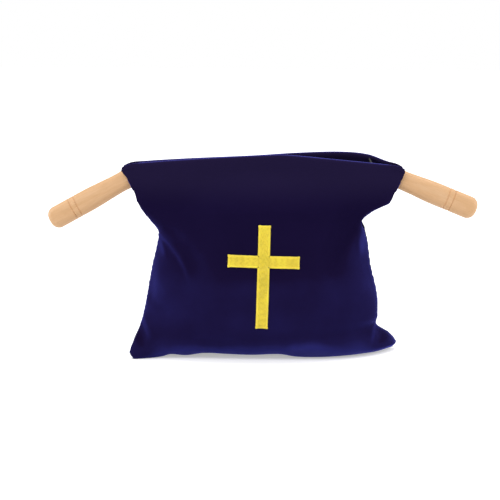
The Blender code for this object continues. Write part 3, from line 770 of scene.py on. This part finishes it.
def wood_material(name, shift):
    """Pale turned hardwood: grain drawn out along the handle, with fine dark pores."""
    made = Nodes(name)
    base = colours().wood

    def grain(along, round_it, offset, detail, roughness):
        where = made.place((along, round_it, 1.0), "grain", (shift + offset, offset, 0.0))
        return made.noise(where, 1.0, detail, roughness)

    fine = grain(60.0, 900.0, 0.7, 3.0, 0.6)
    pores = grain(140.0, 2600.0, 1.7, 2.0, 0.7)
    tones = made.ramp(
        made.mixed(grain(14.0, 70.0, 0.3, 4.0, 0.6), fine, 0.65),
        (0.30, tint(base, 0.86)),
        (0.45, (base[0] * 0.98, base[1] * 0.94, base[2] * 0.86)),
        (0.58, tint(base, 1.04)),
        (0.75, (min(base[0] * 1.12, 1), base[1] * 1.22, base[2] * 1.35)),
    )
    dark = made.ramp(pores, (0.30, (0.72, 0.66, 0.58)), (0.40, 1.0))
    blend = made.new("ShaderNodeMix", data_type="RGBA", blend_type="MULTIPLY", Factor=0.55, A=tones, B=dark)
    made.finish(
        Base_Color=blend.outputs["Result"],
        Roughness=made.ramp(fine, (0.3, 0.42), (0.8, 0.58)),
        Specular_IOR_Level=0.35,
        Normal=made.bump(pores, 0.25, 0.0002),
    )


# Cloth


# Folds in the cloth: route along X and Z, height of the ridge (a valley is below zero), and its width
# on the left and on the right of the route.
FOLDS = {
    FRONT: (
        (((-0.116, 0.126), (-0.103, 0.121), (-0.094, 0.115), (-0.084, 0.104), (-0.078, 0.093),
          (-0.070, 0.072)), 0.0028, 0.0060, 0.0022),
        (((-0.112, 0.137), (-0.096, 0.127), (-0.080, 0.113), (-0.068, 0.096), (-0.058, 0.074)),
         -0.0018, 0.0100, 0.0140),
        (((-0.112, 0.119), (-0.104, 0.116), (-0.100, 0.107), (-0.097, 0.096)), 0.0022, 0.0030, 0.0050),
        (((0.108, 0.146), (0.094, 0.138), (0.084, 0.124), (0.074, 0.107), (0.060, 0.080)),
         -0.0046, 0.0060, 0.0190),
        (((0.106, 0.139), (0.103, 0.130), (0.101, 0.119), (0.102, 0.098)), 0.0030, 0.0050, 0.0040),
        (((0.128, 0.166), (0.112, 0.154), (0.090, 0.143), (0.066, 0.136)), -0.0024, 0.0100, 0.0140),
        (((0.120, 0.150), (0.104, 0.139), (0.088, 0.134)), 0.0012, 0.0070, 0.0050),
        (((-0.129, 0.042), (-0.121, 0.034), (-0.116, 0.026), (-0.112, 0.012)), 0.0032, 0.0036, 0.0026),
        (((-0.131, 0.030), (-0.124, 0.020), (-0.118, 0.008)), -0.0030, 0.0034, 0.0044),
        (((-0.122, 0.062), (-0.106, 0.048), (-0.090, 0.034)), -0.0008, 0.0090, 0.0070),
        (((0.123, 0.036), (0.117, 0.028), (0.114, 0.018), (0.113, 0.008)), 0.0028, 0.0022, 0.0032),
        (((0.128, 0.028), (0.124, 0.020), (0.122, 0.008)), -0.0044, 0.0090, 0.0030),
        (((-0.070, 0.020), (-0.040, 0.016), (-0.010, 0.019)), -0.0008, 0.0060, 0.0060),
        (((-0.050, 0.041), (-0.010, 0.040), (0.060, 0.041)), 0.0011, 0.0110, 0.0110),
        (((0.020, 0.013), (0.050, 0.017), (0.085, 0.012)), 0.0016, 0.0060, 0.0060),
    ),
    BACK: (
        (((-0.116, 0.126), (-0.096, 0.116), (-0.080, 0.100), (-0.070, 0.078)), 0.0032, 0.0040, 0.0080),
        (((-0.112, 0.138), (-0.088, 0.128), (-0.066, 0.108)), -0.0026, 0.0110, 0.0110),
        (((0.112, 0.132), (0.094, 0.121), (0.080, 0.103), (0.072, 0.080)), -0.0044, 0.0150, 0.0075),
        (((0.112, 0.118), (0.102, 0.106), (0.096, 0.086)), 0.0030, 0.0060, 0.0050),
        (((0.124, 0.160), (0.100, 0.149), (0.072, 0.150)), -0.0022, 0.0110, 0.0110),
        (((-0.124, 0.044), (-0.106, 0.030), (-0.082, 0.022)), 0.0030, 0.0050, 0.0070),
        (((0.122, 0.036), (0.108, 0.026), (0.092, 0.020)), 0.0034, 0.0040, 0.0060),
        (((-0.030, 0.016), (0.010, 0.012), (0.050, 0.018)), -0.0016, 0.0060, 0.0060),
    ),
}


def fold_depth(side, x, z):
    """How far the folds push the cloth out at each place."""
    total = np.zeros_like(x)
    for route, height, left_width, right_width in FOLDS[side]:
        route = np.array(route)
        lengths = np.linalg.norm(np.diff(route, axis=0), axis=1)
        whole, start = lengths.sum(), 0.0
        best = np.full(x.shape, np.inf)
        along, on_left = np.zeros_like(x), np.zeros(x.shape, bool)
        for a, b, length in zip(route, route[1:], lengths):
            d = (b - a) / length
            t = np.clip((x - a[0]) * d[0] + (z - a[1]) * d[1], 0, length)
            gap = np.hypot(x - a[0] - t * d[0], z - a[1] - t * d[1])
            nearer = gap < best
            best = np.where(nearer, gap, best)
            along = np.where(nearer, (start + t) / whole, along)
            on_left = np.where(nearer, d[0] * (z - a[1]) - d[1] * (x - a[0]) > 0, on_left)
            start += length
        width = np.where(on_left, left_width, right_width)
        taper = ease(along / 0.2) * ease((1 - along) / 0.5)
        total += height * taper * np.exp(-((best / width) ** 2))
    return total


def panel_grid(side):
    """Points of one velvet panel, from the inner foot of its hem over the rim to the bottom seam."""
    surface = Surface(side)
    u = columns(PANEL_COLUMNS)
    roll, foot = sizes().fold_radius, HEM_FOOT_LAYERS * sizes().velvet
    leg, pressed = (
        1 - less * ease((np.abs(u) - start) / over) for start, over, less in (SHORTER_LEG, PRESSED_ROLL)
    )

    def hem_row(depth_in, drop):
        crest = surface.x(u, RIM_HEIGHT, 0.0)
        x = surface.x(u, RIM_HEIGHT - drop, 0.0)
        y = side * (through(surface.rim, x, 1) - depth_in * pressed)
        return np.stack([x, y, surface.height(crest, RIM_HEIGHT - drop)], -1)

    rows = []
    for k in range(6, 0, -1):
        drop = (sizes().hem_depth - LEG_SHORT_OF_FOOT - roll) * k / 6
        rows.append(hem_row(2 * roll + (foot - 2 * roll) * ease(k / 4), roll + drop * leg))
    for k in range(8):
        angle = math.pi * (1 - k / 8)
        rows.append(hem_row(roll - roll * math.cos(angle), roll - roll * math.sin(angle)))
    levels = np.linspace(RIM_HEIGHT - roll, surface.turn, WALL_ROWS)
    return np.array(rows + surface.rows(u, levels, TURN_ROWS, FLOOR_ROWS))


def paint_sheen_and_shade(piece, side):
    """Store the painted sheen and painted shade of the pile at each point, for the velvet's base colour.

    Painted sheen makes it bluer where the cloth turns away and towards the floor, with painted highlights on
    the crests of folds and of the rim. Painted shade makes it darker in valleys and towards the mouth.
    """
    mesh = piece.data
    normals = np.empty(len(mesh.vertices) * 3, np.float32)
    mesh.vertices.foreach_get("normal", normals)
    x, _, z = normals.reshape(-1, 3).T
    place = points(piece)
    height = place[:, 2]

    def under(level, span):
        """From 0 at a level to 1 a span below it."""
        return ease((level - height) / span)

    def over(level, span):
        """From 0 at a level to 1 a span above it."""
        return ease((height - level) / span)

    # Painted sheen from the normals: bluer where the cloth faces sideways or down, a little where it faces
    # up, less on the sides low down.
    up = np.where(z < 0, z, 0.30 * z)
    lower = np.where(x > 0, 0.14 * under(0.085, 0.030), 0.06 * under(0.045, 0.020))
    across = 0.76 - lower - 0.26 * under(0.048, 0.022)
    # Painted sheen towards the floor, weaker at the ends.
    low = 0.42 * under(0.105, 0.035) + 0.42 * under(0.026, 0.022)
    low = low * (1 - 0.38 * ease((np.abs(place[:, 0]) - 0.100) / 0.020))
    # Painted highlight along the crest of the rim.
    crest = 1.30 * np.clip(z, 0, 1) ** 5 * over(0.170, 0.010)
    fold = fold_depth(side, place[:, 0], height)
    # Painted shade in the folds' valleys and painted highlight on their ridges.
    painted_valley_shade = 1 - 0.62 * ease(-fold / 0.0030)
    ridge = 0.28 * ease(fold / 0.0028)
    # Painted shade towards the mouth.
    upper = 1 - 0.40 * over(0.115, 0.030)
    values = np.sqrt((across * x) ** 2 + up * up + low * low) * painted_valley_shade * upper + ridge * upper + crest
    # The attribute named turned holds this painted sheen and painted shade.
    mesh.attributes.new("turned", "FLOAT", "POINT").data.foreach_set("value", values.astype(np.float32))


class OFFERTORY_OT_materials(bpy.types.Operator):
    """Make the materials that the pieces share"""

    bl_idname = "offertory.materials"
    bl_label = "Materials"

    def execute(self, context):
        velvet_material()
        lining_material()
        thread_material("border_thread", 1.16)
        thread_material("fill_thread", 1.22)
        thread_material("pad_thread", 0.92)
        metal_material("bright_steel", 120.0, (0.22, 0.22, 0.23), (0.33, 0.33, 0.34), 0.58, 1.0)
        metal_material("black_wire", 150.0, (0.010, 0.010, 0.011), (0.026, 0.026, 0.028), 0.60, 0.6)
        wood_material("left_wood", 0.0)
        wood_material("right_wood", 3.7)
        return {"FINISHED"}


class OFFERTORY_OT_settle(bpy.types.Operator):
    """Let the cloth of the bag settle by simulation"""

    bl_idname = "offertory.settle"
    bl_label = "Settle the cloth"

    def execute(self, context):
        Settling.run()
        return {"FINISHED"}


class OFFERTORY_OT_velvet(bpy.types.Operator):
    """Make the front and back velvet panels with their hems"""

    bl_idname = "offertory.velvet"
    bl_label = "Velvet panels"

    def execute(self, context):
        for side, word in ((FRONT, "front"), (BACK, "back")):
            name = f"velvet_{word}_cloth"
            piece = add(name, grid_mesh(name, panel_grid(side), flip=side == FRONT))
            thickened(piece, sizes().velvet)
            paint_sheen_and_shade(piece, side)
            bends(piece)
            dressed(piece, "navy_velvet", "velvet", f"velvet_{word}", f"{word}_hem")
        return {"FINISHED"}


class OFFERTORY_OT_lining(bpy.types.Operator):
    """Make the two lining panels inside the velvet"""

    bl_idname = "offertory.lining"
    bl_label = "Lining"

    thickness = 0.0006
    into_hem = 0.001
    width_share = 0.94
    narrower, shorter = 0.004, 0.030
    cols, wall_rows, turn_rows, floor_rows = 121, 80, 12, 8

    def execute(self, context):
        for side, word in ((FRONT, "front"), (BACK, "back")):
            name = f"lining_{word}_cloth"
            surface = Surface(side)
            u = columns(self.cols) * self.width_share
            levels = np.linspace(hem_foot() + self.into_hem, surface.turn, self.wall_rows)
            grid = np.array(surface.rows(u, levels, self.turn_rows, self.floor_rows))
            down, along = np.gradient(grid, axis=(0, 1))
            inwards = np.cross(down, along) * side
            grid += inwards / np.linalg.norm(inwards, axis=-1, keepdims=True) * (sizes().velvet + 2 * GAP)
            piece = add(name, grid_mesh(name, grid, flip=side == FRONT))
            thickened(piece, self.thickness)
            bends(piece)
            dressed(piece, "dark_lining", "lining", f"lining_{word}")
        return {"FINISHED"}


class OFFERTORY_OT_seams(bpy.types.Operator):
    """Make the seam allowances down the sides and along the bottom"""

    bl_idname = "offertory.seams"
    bl_label = "Seams"

    inset = 0.0003
    deep = 0.0070
    wall_rows, turn_rows = 70, 16
    turn_from, turn_to = 0.05, 1.5
    bottom_cols, left_out = 90, 3

    def strip(self, name, node, row):
        """A double layer of cloth that stands in from the seam line; row reads one of its corners."""
        sides = (FRONT, self.inset), (FRONT, self.deep), (BACK, self.deep), (BACK, self.inset)
        bm = bmesh.new()
        rows = (row(Surface(side), inset) for side, inset in sides)
        rings = [[bm.verts.new(corner) for corner in ring] for ring in zip(*rows)]
        for a, b in zip(rings, rings[1:]):
            for k in range(4):
                j = (k + 1) % 4
                bm.faces.new((a[k], a[j], b[j], b[k]))
        bm.faces.new(rings[0])
        bm.faces.new(rings[-1])
        bmesh.ops.recalc_face_normals(bm, faces=bm.faces)
        piece = add(name, bpy.data.meshes.new(name))
        bm.to_mesh(piece.data)
        bm.free()
        paint_sheen_and_shade(piece, FRONT)
        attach(piece, "bag")
        dressed(piece, "navy_velvet", "seam_tape", node)

    def execute(self, context):
        levels = np.linspace(Surface.seam_top, sizes().floor_radius, self.wall_rows)
        angles = np.linspace(self.turn_from, self.turn_to, self.turn_rows)
        places = [("walls", level) for level in levels] + [("floor_turn", angle) for angle in angles]
        for end, word in ((LEFT, "left"), (RIGHT, "right")):
            u = np.array([float(end)])
            self.strip(
                f"{word}_seam_allowance", f"{word}_side_seam",
                lambda surface, inset: [surface.at(kind, u, value, inset)[0] for kind, value in places],
            )
        u = columns(self.bottom_cols)[self.left_out : -self.left_out]
        self.strip(
            "bottom_seam_allowance", "bottom_seam",
            lambda surface, inset: surface.at("floor", u, 0.0, inset),
        )
        return {"FINISHED"}


class OFFERTORY_OT_cross(bpy.types.Operator):
    """Embroider the cross in satin stitch"""

    bl_idname = "offertory.cross"
    bl_label = "Cross"

    height = 0.1016
    span = 0.0710
    bar = 0.0120
    top = 0.1370
    arm = top - 0.0352
    foot = top - height
    centre = 0.0012
    lean = math.radians(1.25)
    border = 0.0020
    border_pitch = 0.00040
    border_lift, border_arch = 0.00055, 0.00075
    border_thread = 0.00026
    fill_inset = 0.0014
    fill_end = 0.0012
    fill_join = 0.0010
    fill_pitch = 0.00062
    fill_length = 0.0060
    fill_lift, fill_arch = 0.00085, 0.00018
    fill_thread = 0.00030
    shortest = 0.0006
    pad_inset = 0.0012
    pad_rise = 0.0007
    pad_thickness = 0.0006

    def on_front(self, x, z, rise):
        """Points on the front panel at places of the upright cross, once it leans as a whole."""
        surface = Surface(FRONT)
        turn = complex(math.cos(self.lean), -math.sin(self.lean))
        spot = (np.asarray(x, float) + 1j * (np.asarray(z, float) - self.arm)) * turn
        x, z = spot.real + self.centre, spot.imag + self.arm
        crest = through(FRONT_RIM, x, 2)
        level = surface.turn + (z - surface.turn) / (crest - surface.turn) * (RIM_HEIGHT - surface.turn)
        left, right = through(LEVELS, level, 1), through(LEVELS, level, 2)
        point = surface.at("walls", (x - 0.5 * (right - left)) / (0.5 * (right + left)), level)
        point[..., 1] -= rise
        return point

    def corners(self):
        """The cross's outline, clockwise from its top left corner."""
        bar, span, top, arm, foot = self.bar / 2, self.span / 2, self.top, self.arm, self.foot
        return [
            (-bar, top), (bar, top), (bar, arm + bar), (span, arm + bar), (span, arm - bar),
            (bar, arm - bar), (bar, foot), (-bar, foot), (-bar, arm - bar), (-span, arm - bar),
            (-span, arm + bar), (-bar, arm + bar),
        ]

    def pad(self, name):
        """A thin cross-shaped pad under the stitches, a little smaller than the outline."""
        bar, span = self.bar / 2 - self.pad_inset, self.span / 2 - self.pad_inset
        arm, top, foot = self.arm, self.top - self.pad_inset, self.foot + self.pad_inset

        def marks(*stretches):
            return np.unique(np.concatenate([np.linspace(*stretch) for stretch in stretches]).round(7))

        xs = marks((-span, -bar, 14), (-bar, bar, 8), (bar, span, 14))
        zs = marks((foot, arm - bar, 24), (arm - bar, arm + bar, 8), (arm + bar, top, 14))
        grid = self.on_front(*np.meshgrid(xs, zs), self.pad_rise)
        bm = bmesh.new()
        verts = {}

        def vert(r, c):
            if (r, c) not in verts:
                verts[r, c] = bm.verts.new(grid[r, c])
            return verts[r, c]

        for r in range(len(zs) - 1):
            for c in range(len(xs) - 1):
                x, z = (xs[c] + xs[c + 1]) / 2, (zs[r] + zs[r + 1]) / 2
                if abs(x) < bar or abs(z - arm) < bar:
                    bm.faces.new((vert(r, c), vert(r, c + 1), vert(r + 1, c + 1), vert(r + 1, c)))
        piece = add(name, bpy.data.meshes.new(name))
        bm.to_mesh(piece.data)
        bm.free()
        piece.data.shade_smooth()
        thickened(piece, self.pad_thickness)
        return piece

    def execute(self, context):
        pad = self.pad("cross_fill_pad")
        fill = stitches("cross_fill_stitches", self.fill_lines(), self.fill_thread, "fill_thread")
        border = stitches("cross_border_stitches", self.border_lines(), self.border_thread, "border_thread")
        for piece, look, nodes in (
            (pad, "pad_thread", ("cross_fill",)),
            (fill, None, ()),
            (border, None, ("cross_border",)),
        ):
            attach(piece, "bag")
            dressed(piece, look, "embroidery", *nodes)
        return {"FINISHED"}

    def fill_lines(self):
        """Rows of stitches lengthwise in the upright and the arms."""
        random = np.random.default_rng(11)
        bar = self.bar / 2 - self.fill_inset
        count = int(2 * bar / self.fill_pitch)
        lines = []

        def row(start, end, place, upright):
            at = start + random.uniform(0, self.fill_length) * 0.5
            marks = [start]
            while at < end - 0.001:
                marks.append(at)
                at += self.fill_length * random.uniform(0.85, 1.1)
            marks.append(end)
            for a, b in zip(marks, marks[1:]):
                if b - a < self.shortest:
                    continue
                t = np.linspace(a, b, 5)
                lift = self.fill_lift + self.fill_arch * np.sin(np.pi * (t - a) / (b - a))
                side = np.full_like(t, place)
                lines.append(self.on_front(side, t, lift) if upright else self.on_front(t, side, lift))

        for k in range(count + 1):
            place = -bar + 2 * bar * k / count
            row(self.foot + self.fill_end, self.top - self.fill_end, place, True)
            for sign in (-1, 1):
                ends = self.bar / 2 - self.fill_join, self.span / 2 - self.fill_end
                row(*sorted(sign * end for end in ends), self.arm + place, False)
        return lines

    def border_lines(self):
        """Satin stitches square to the outline, all round it."""
        random = np.random.default_rng(5)
        lift = self.border_lift + self.border_arch * np.sin(np.pi * np.linspace(0.06, 0.94, 6)) ** 0.7
        lines = []
        corners = self.corners()
        for a, b in zip(corners, corners[1:] + corners[:1]):
            a, b = np.array(a), np.array(b)
            length = np.linalg.norm(b - a)
            along = (b - a) / length
            inward = np.array((along[1], -along[0]))
            count = int(length / self.border_pitch)
            for k in range(count + 1):
                out = random.uniform(-0.00012, 0.00012)
                depth = self.border + random.uniform(-0.00015, 0.0002)
                spot = a + along * length * k / count + inward * np.linspace(out, depth, 6)[:, None]
                lines.append(self.on_front(*spot.T, lift))
        return lines


def stitches(name, lines, radius, look):
    """One thread along each line, swept by a Geometry Nodes tree and turned into plain mesh."""
    curve = bpy.data.curves.new(name, "CURVE")
    curve.dimensions = "3D"
    for line in lines:
        spline = curve.splines.new("POLY")
        spline.points.add(len(line) - 1)
        flat = np.concatenate([line, np.ones((len(line), 1))], 1)
        spline.points.foreach_set("co", flat.astype(np.float32).ravel())
    route = add(name + "_route", curve)
    tree, sockets = thread_tree()
    sweep = route.modifiers.new("thread", "NODES")
    sweep.node_group = tree
    for socket, value in {"Thread radius": radius, "Sides": 5, "Material": bpy.data.materials[look]}.items():
        sweep[sockets[socket]] = value
    bpy.context.view_layer.update()
    mesh = bpy.data.meshes.new_from_object(route.evaluated_get(bpy.context.evaluated_depsgraph_get()))
    mesh.name = name
    bpy.data.objects.remove(route)
    mesh.shade_smooth()
    return add(name, mesh)


def thread_tree():
    """Geometry Nodes tree that sweeps a round thread, thinner at its ends, along every curve."""
    name = "thread_sweep"
    tree = bpy.data.node_groups.get(name)
    if not tree:
        tree = bpy.data.node_groups.new(name, "GeometryNodeTree")
        kinds = {"Geometry": "Geometry", "Thread radius": "Float", "Sides": "Int", "Material": "Material"}
        for socket, kind in kinds.items():
            tree.interface.new_socket(socket, in_out="INPUT", socket_type=f"NodeSocket{kind}")
        tree.interface.new_socket("Geometry", in_out="OUTPUT", socket_type="NodeSocketGeometry")
        new, link = tree.nodes.new, tree.links.new
        source, result = new("NodeGroupInput"), new("NodeGroupOutput")
        place, taper = new("GeometryNodeSplineParameter"), new("ShaderNodeFloatCurve")
        size, ring = new("ShaderNodeMath"), new("GeometryNodeCurvePrimitiveCircle")
        curve = taper.mapping.curves[0].points
        curve[0].location, curve[1].location = (0.0, 0.45), (1.0, 0.45)
        for full in (0.18, 0.82):
            curve.new(full, 1.0)
        taper.mapping.update()
        size.operation = "MULTIPLY"
        ring.inputs["Radius"].default_value = 1.0
        words = ("CurveToMesh", "SetShadeSmooth", "RealizeInstances", "SetMaterial")
        steps = [new(f"GeometryNode{word}") for word in words]
        sweep, look = steps[0], steps[-1]
        sweep.inputs["Fill Caps"].default_value = True
        link(place.outputs["Factor"], taper.inputs["Value"])
        link(taper.outputs["Value"], size.inputs[0])
        link(source.outputs["Thread radius"], size.inputs[1])
        link(source.outputs["Geometry"], sweep.inputs["Curve"])
        link(size.outputs["Value"], sweep.inputs["Scale"])
        link(source.outputs["Sides"], ring.inputs["Resolution"])
        link(ring.outputs["Curve"], sweep.inputs["Profile Curve"])
        link(source.outputs["Material"], look.inputs["Material"])
        for step, following in zip(steps, steps[1:] + [result]):
            link(step.outputs[0], following.inputs["Geometry"])
    sockets = (item for item in tree.interface.items_tree if item.item_type == "SOCKET")
    return tree, {socket.name: socket.identifier for socket in sockets if socket.in_out == "INPUT"}


# Handles


class OFFERTORY_OT_handles(bpy.types.Operator):
    """Turn the two wooden handles"""

    bl_idname = "offertory.handles"
    bl_label = "Handles"

    start = 0.0078
    reach = 0.1008
    grip = 0.0115
    neck = 0.0099
    flare = 0.0103
    end = 0.0085
    crown = 0.0004
    grip_from = 0.050
    neck_at = 0.010
    flare_length = 0.0092
    edge = 0.0008
    grooves = (0.0270, 0.0330)
    groove_depth = 0.0007
    groove_width = 0.0013
    hole = 0.0027
    hole_depth = 0.0283
    hole_edge = 0.0004
    sides = 96

    def profile(self):
        """(radius, distance from the pin) from the outer end to the drilled end."""
        tip, start, edge = self.reach, self.start, self.edge
        face = self.grip - self.end
        points = [(0.0, tip + self.crown), (face * 0.5, tip + 0.75 * self.crown)]
        for k in range(17):
            angle = math.pi / 2 * (1 - k / 16)
            points.append((face + self.end * math.cos(angle), tip - self.end + self.end * math.sin(angle)))
        for place in self.grooves:
            for k in range(9):
                cut = self.groove_depth * math.sin(math.pi * k / 8) ** 0.8
                points.append((self.grip - cut, tip - place + (0.5 - k / 8) * self.groove_width))
        high, low = start + self.grip_from, start + self.neck_at
        for k in range(1, 21):
            radius = self.grip + (self.neck - self.grip) * float(ease(k / 20))
            points.append((radius, high + (low - high) * k / 20))
        for k in range(1, 9):
            radius = self.neck + (self.flare - self.neck) * float(ease(k / 8))
            points.append((radius, low - self.flare_length * k / 8))
        for k in range(1, 5):
            angle = math.pi / 2 * k / 4
            points.append((self.flare - edge + edge * math.cos(angle), start + edge - edge * math.sin(angle)))
        bottom = start + self.hole_depth
        points += [(self.hole + self.hole_edge, start), (self.hole, start + self.hole_edge)]
        return points + [(self.hole, bottom), (0.0, bottom)]

    def execute(self, context):
        for word in ("left", "right"):
            name = f"{word}_turned_handle"
            mesh = self.spun(name)
            turn = self.axis(word).to_track_quat("Z", "Y").to_matrix().to_4x4()
            mesh.transform(Matrix.Translation(pin_of(f"{word}_grip")) @ turn)
            piece = add(name, mesh)
            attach(piece, f"{word}_grip")
            dressed(piece, f"{word}_wood", "wood", f"{word}_handle")
        return {"FINISHED"}

    def axis(self, word):
        """Direction from the pin out along the handle, read from the CAD handle's own middle."""
        points = np.array([v.co for v in frame["nodes"][f"{word}_handle"].data.vertices])
        middle = points.mean(0)
        _, _, ways = np.linalg.svd(points - middle)
        way = ways[0] if (middle - np.array(pin_of(f"{word}_grip"))) @ ways[0] > 0 else -ways[0]
        way[1] = 0.0
        return Vector(way).normalized()

    def spun(self, name):
        """The profile spun round Z, with a UV map in metres along the handle and round it."""
        points = np.array(self.profile())
        length = np.concatenate([[0], np.hypot(*np.diff(points, axis=0).T).cumsum()])
        angles = np.linspace(0, 2 * math.pi, self.sides, endpoint=False)
        bm = bmesh.new()
        layer = bm.loops.layers.uv.new("grain")
        rings = [
            [bm.verts.new((r * math.cos(a), r * math.sin(a), z)) for a in (angles if r else angles[:1])]
            for r, z in points
        ]
        for i, (a, b) in enumerate(zip(rings, rings[1:])):
            for k in range(self.sides):
                corners = [(a, i, k), (b, i + 1, k), (b, i + 1, k + 1), (a, i, k + 1)]
                if len(a) == 1 or len(b) == 1:
                    corners.pop(3 if len(a) == 1 else 2)
                face = bm.faces.new([ring[turn % len(ring)] for ring, _, turn in corners])
                for loop, (_, row, turn) in zip(face.loops, corners):
                    loop[layer].uv = (length[row], turn / self.sides * 2 * math.pi * self.grip)
        bmesh.ops.recalc_face_normals(bm, faces=bm.faces)
        mesh = bpy.data.meshes.new(name)
        bm.to_mesh(mesh)
        bm.free()
        mesh.shade_smooth()
        mesh.set_sharp_from_angle(angle=math.radians(50))
        return mesh


class OFFERTORY_OT_fittings(bpy.types.Operator):
    """Give the wire bows and the hinge fittings their metal"""

    bl_idname = "offertory.fittings"
    bl_label = "Wire and fittings"

    def execute(self, context):
        looks = {name: ("black_wire", "spring_wire") for name in ("front_bow", "back_bow")}
        for fitting in ("fork", "stud_nut", "hinge_pin", "tang"):
            looks |= {f"{word}_{fitting}": ("bright_steel", "steel") for word in ("left", "right")}
        for name, (look, slot) in looks.items():
            node = frame["nodes"][name]
            node.data.materials.clear()
            dressed(node, look, slot)
        return {"FINISHED"}


# Stage


class OFFERTORY_OT_stage(bpy.types.Operator):
    """Set the floor, the lamps and the camera"""

    bl_idname = "offertory.stage"
    bl_label = "Stage"

    aim = Vector((-0.0127, 0.0, 0.107))
    floor_half = 12.0
    # Place, height that it aims at, width and height, and power of each lamp.
    lamps = {
        "key": ((-0.9, -1.5, 1.7), 0.12, (1.2, 1.2), 18.0),
        "fill": ((1.3, -1.2, 0.9), 0.10, (1.0, 1.2), 6.0),
        "top": ((0.1, 0.5, 1.8), 0.10, (1.6, 1.0), 16.0),
        "left_edge": ((-1.6, 0.5, 0.7), 0.10, (0.8, 1.4), 10.0),
        "right_edge": ((1.6, 0.5, 0.7), 0.10, (0.8, 1.4), 10.0),
    }
    surround_strength = 0.55

    def lifted_white(self, made, strength):
        """The shader with a white glow that only the eye, a reflection or a view through glass meets."""
        seen = made.new("ShaderNodeLightPath").outputs
        either = made.math("MAXIMUM", seen["Is Camera Ray"], seen["Is Glossy Ray"])
        either = made.math("MAXIMUM", either, seen["Is Transmission Ray"])
        pick = made.new("ShaderNodeMixShader", Fac=either)
        both = made.new("ShaderNodeAddShader")
        made.feed(pick.inputs[1], made.new("ShaderNodeEmission", Strength=0.0).outputs[0])
        made.feed(pick.inputs[2], made.new("ShaderNodeEmission", Strength=strength).outputs[0])
        made.feed(both.inputs[0], made.shader.outputs[0])
        made.feed(both.inputs[1], pick.outputs[0])
        return both.outputs[0]

    def floor(self):
        """A wide pale floor that turns white further out."""
        half = self.floor_half
        grid = np.array([[(x, y, 0.0) for x in (-half, half)] for y in (-half, half)])
        floor = add("studio_floor", grid_mesh("studio_floor", grid))
        made = Nodes("pale_floor")
        made.finish(Base_Color=(0.86, 0.86, 0.86, 1.0), Roughness=0.9, Specular_IOR_Level=0.0)
        away = made.new("ShaderNodeVectorMath", operation="LENGTH", Vector=made.place())
        away = away.outputs["Value"]
        glow = made.new("ShaderNodeMapRange", Value=away, From_Min=0.4, From_Max=1.8, To_Min=0.42, To_Max=1.0)
        surface = self.lifted_white(made, glow.outputs["Result"])
        made.feed(made.tree.nodes["Material Output"].inputs["Surface"], surface)
        floor.data.materials.append(made.material)

    def lamp(self, name, place, aim, size, power):
        light = bpy.data.lights.new(name, "AREA")
        light.shape = "RECTANGLE"
        light.size, light.size_y = size
        light.energy = power
        lamp = add(name, light)
        lamp.location = place
        lamp.rotation_euler = (Vector((0, 0, aim)) - Vector(place)).to_track_quat("-Z", "Y").to_euler()

    def surround(self):
        """White to the eye, and a softer light on the bag."""
        world = bpy.data.worlds.new("studio")
        world.use_nodes = True
        nodes, link = world.node_tree.nodes, world.node_tree.links.new
        pick = nodes.new("ShaderNodeMixShader")
        lights = (nodes["Background"], self.surround_strength), (nodes.new("ShaderNodeBackground"), 1.0)
        for socket, (light, strength) in zip(pick.inputs[1:], lights):
            light.inputs["Color"].default_value = (1.0, 1.0, 1.0, 1.0)
            light.inputs["Strength"].default_value = strength
            link(light.outputs[0], socket)
        link(nodes.new("ShaderNodeLightPath").outputs["Is Camera Ray"], pick.inputs["Fac"])
        link(pick.outputs[0], nodes["World Output"].inputs["Surface"])
        return world

    def camera(self):
        studio = bpy.context.scene.offertory_studio
        data = bpy.data.cameras.new("camera")
        data.sensor_width = 36.0
        data.lens = data.sensor_width * studio.distance / studio.width
        data.clip_end = 20.0
        camera = add("camera", data)
        back = Vector((0, -math.cos(studio.elevation), math.sin(studio.elevation)))
        camera.location = self.aim + back * studio.distance
        turn = (-back).to_track_quat("-Z", "Y") @ Matrix.Rotation(studio.roll, 4, "Z").to_quaternion()
        camera.rotation_euler = turn.to_euler()
        return camera

    def execute(self, context):
        context.scene.view_settings.view_transform = "Standard"
        context.scene.world = self.surround()
        self.floor()
        for name, values in self.lamps.items():
            self.lamp(name, *values)
        context.scene.camera = self.camera()
        return {"FINISHED"}


STEPS = (
    OFFERTORY_OT_stage,
    OFFERTORY_OT_materials,
    OFFERTORY_OT_settle,
    OFFERTORY_OT_velvet,
    OFFERTORY_OT_lining,
    OFFERTORY_OT_seams,
    OFFERTORY_OT_cross,
    OFFERTORY_OT_handles,
    OFFERTORY_OT_fittings,
)


class OFFERTORY_PT_panel(bpy.types.Panel):
    """Lists the steps that build the bag"""

    bl_idname = "OFFERTORY_PT_panel"
    bl_label = "Offertory bag"
    bl_space_type = "VIEW_3D"
    bl_region_type = "UI"
    bl_category = "Offertory bag"

    def draw(self, context):
        for group in ("offertory_sizes", "offertory_colours", "offertory_studio"):
            settings = getattr(context.scene, group)
            for name in settings.bl_rna.properties.keys():
                if name not in ("rna_type", "name"):
                    self.layout.prop(settings, name)
        for step in STEPS:
            self.layout.operator(step.bl_idname)


GROUPS = (
    (BagSizes, "offertory_sizes"),
    (BagColours, "offertory_colours"),
    (StudioSizes, "offertory_studio"),
)


def register():
    for group, name in GROUPS:
        bpy.utils.register_class(group)
        setattr(bpy.types.Scene, name, bpy.props.PointerProperty(type=group))
    for step in STEPS:
        bpy.utils.register_class(step)
    bpy.utils.register_class(OFFERTORY_PT_panel)


def unregister():
    bpy.utils.unregister_class(OFFERTORY_PT_panel)
    for step in reversed(STEPS):
        bpy.utils.unregister_class(step)
    for group, name in reversed(GROUPS):
        delattr(bpy.types.Scene, name)
        bpy.utils.unregister_class(group)


def main():
    register()
    for step in STEPS:
        area, word = step.bl_idname.split(".")
        getattr(getattr(bpy.ops, area), word)()


if __name__ == "__main__":
    main()
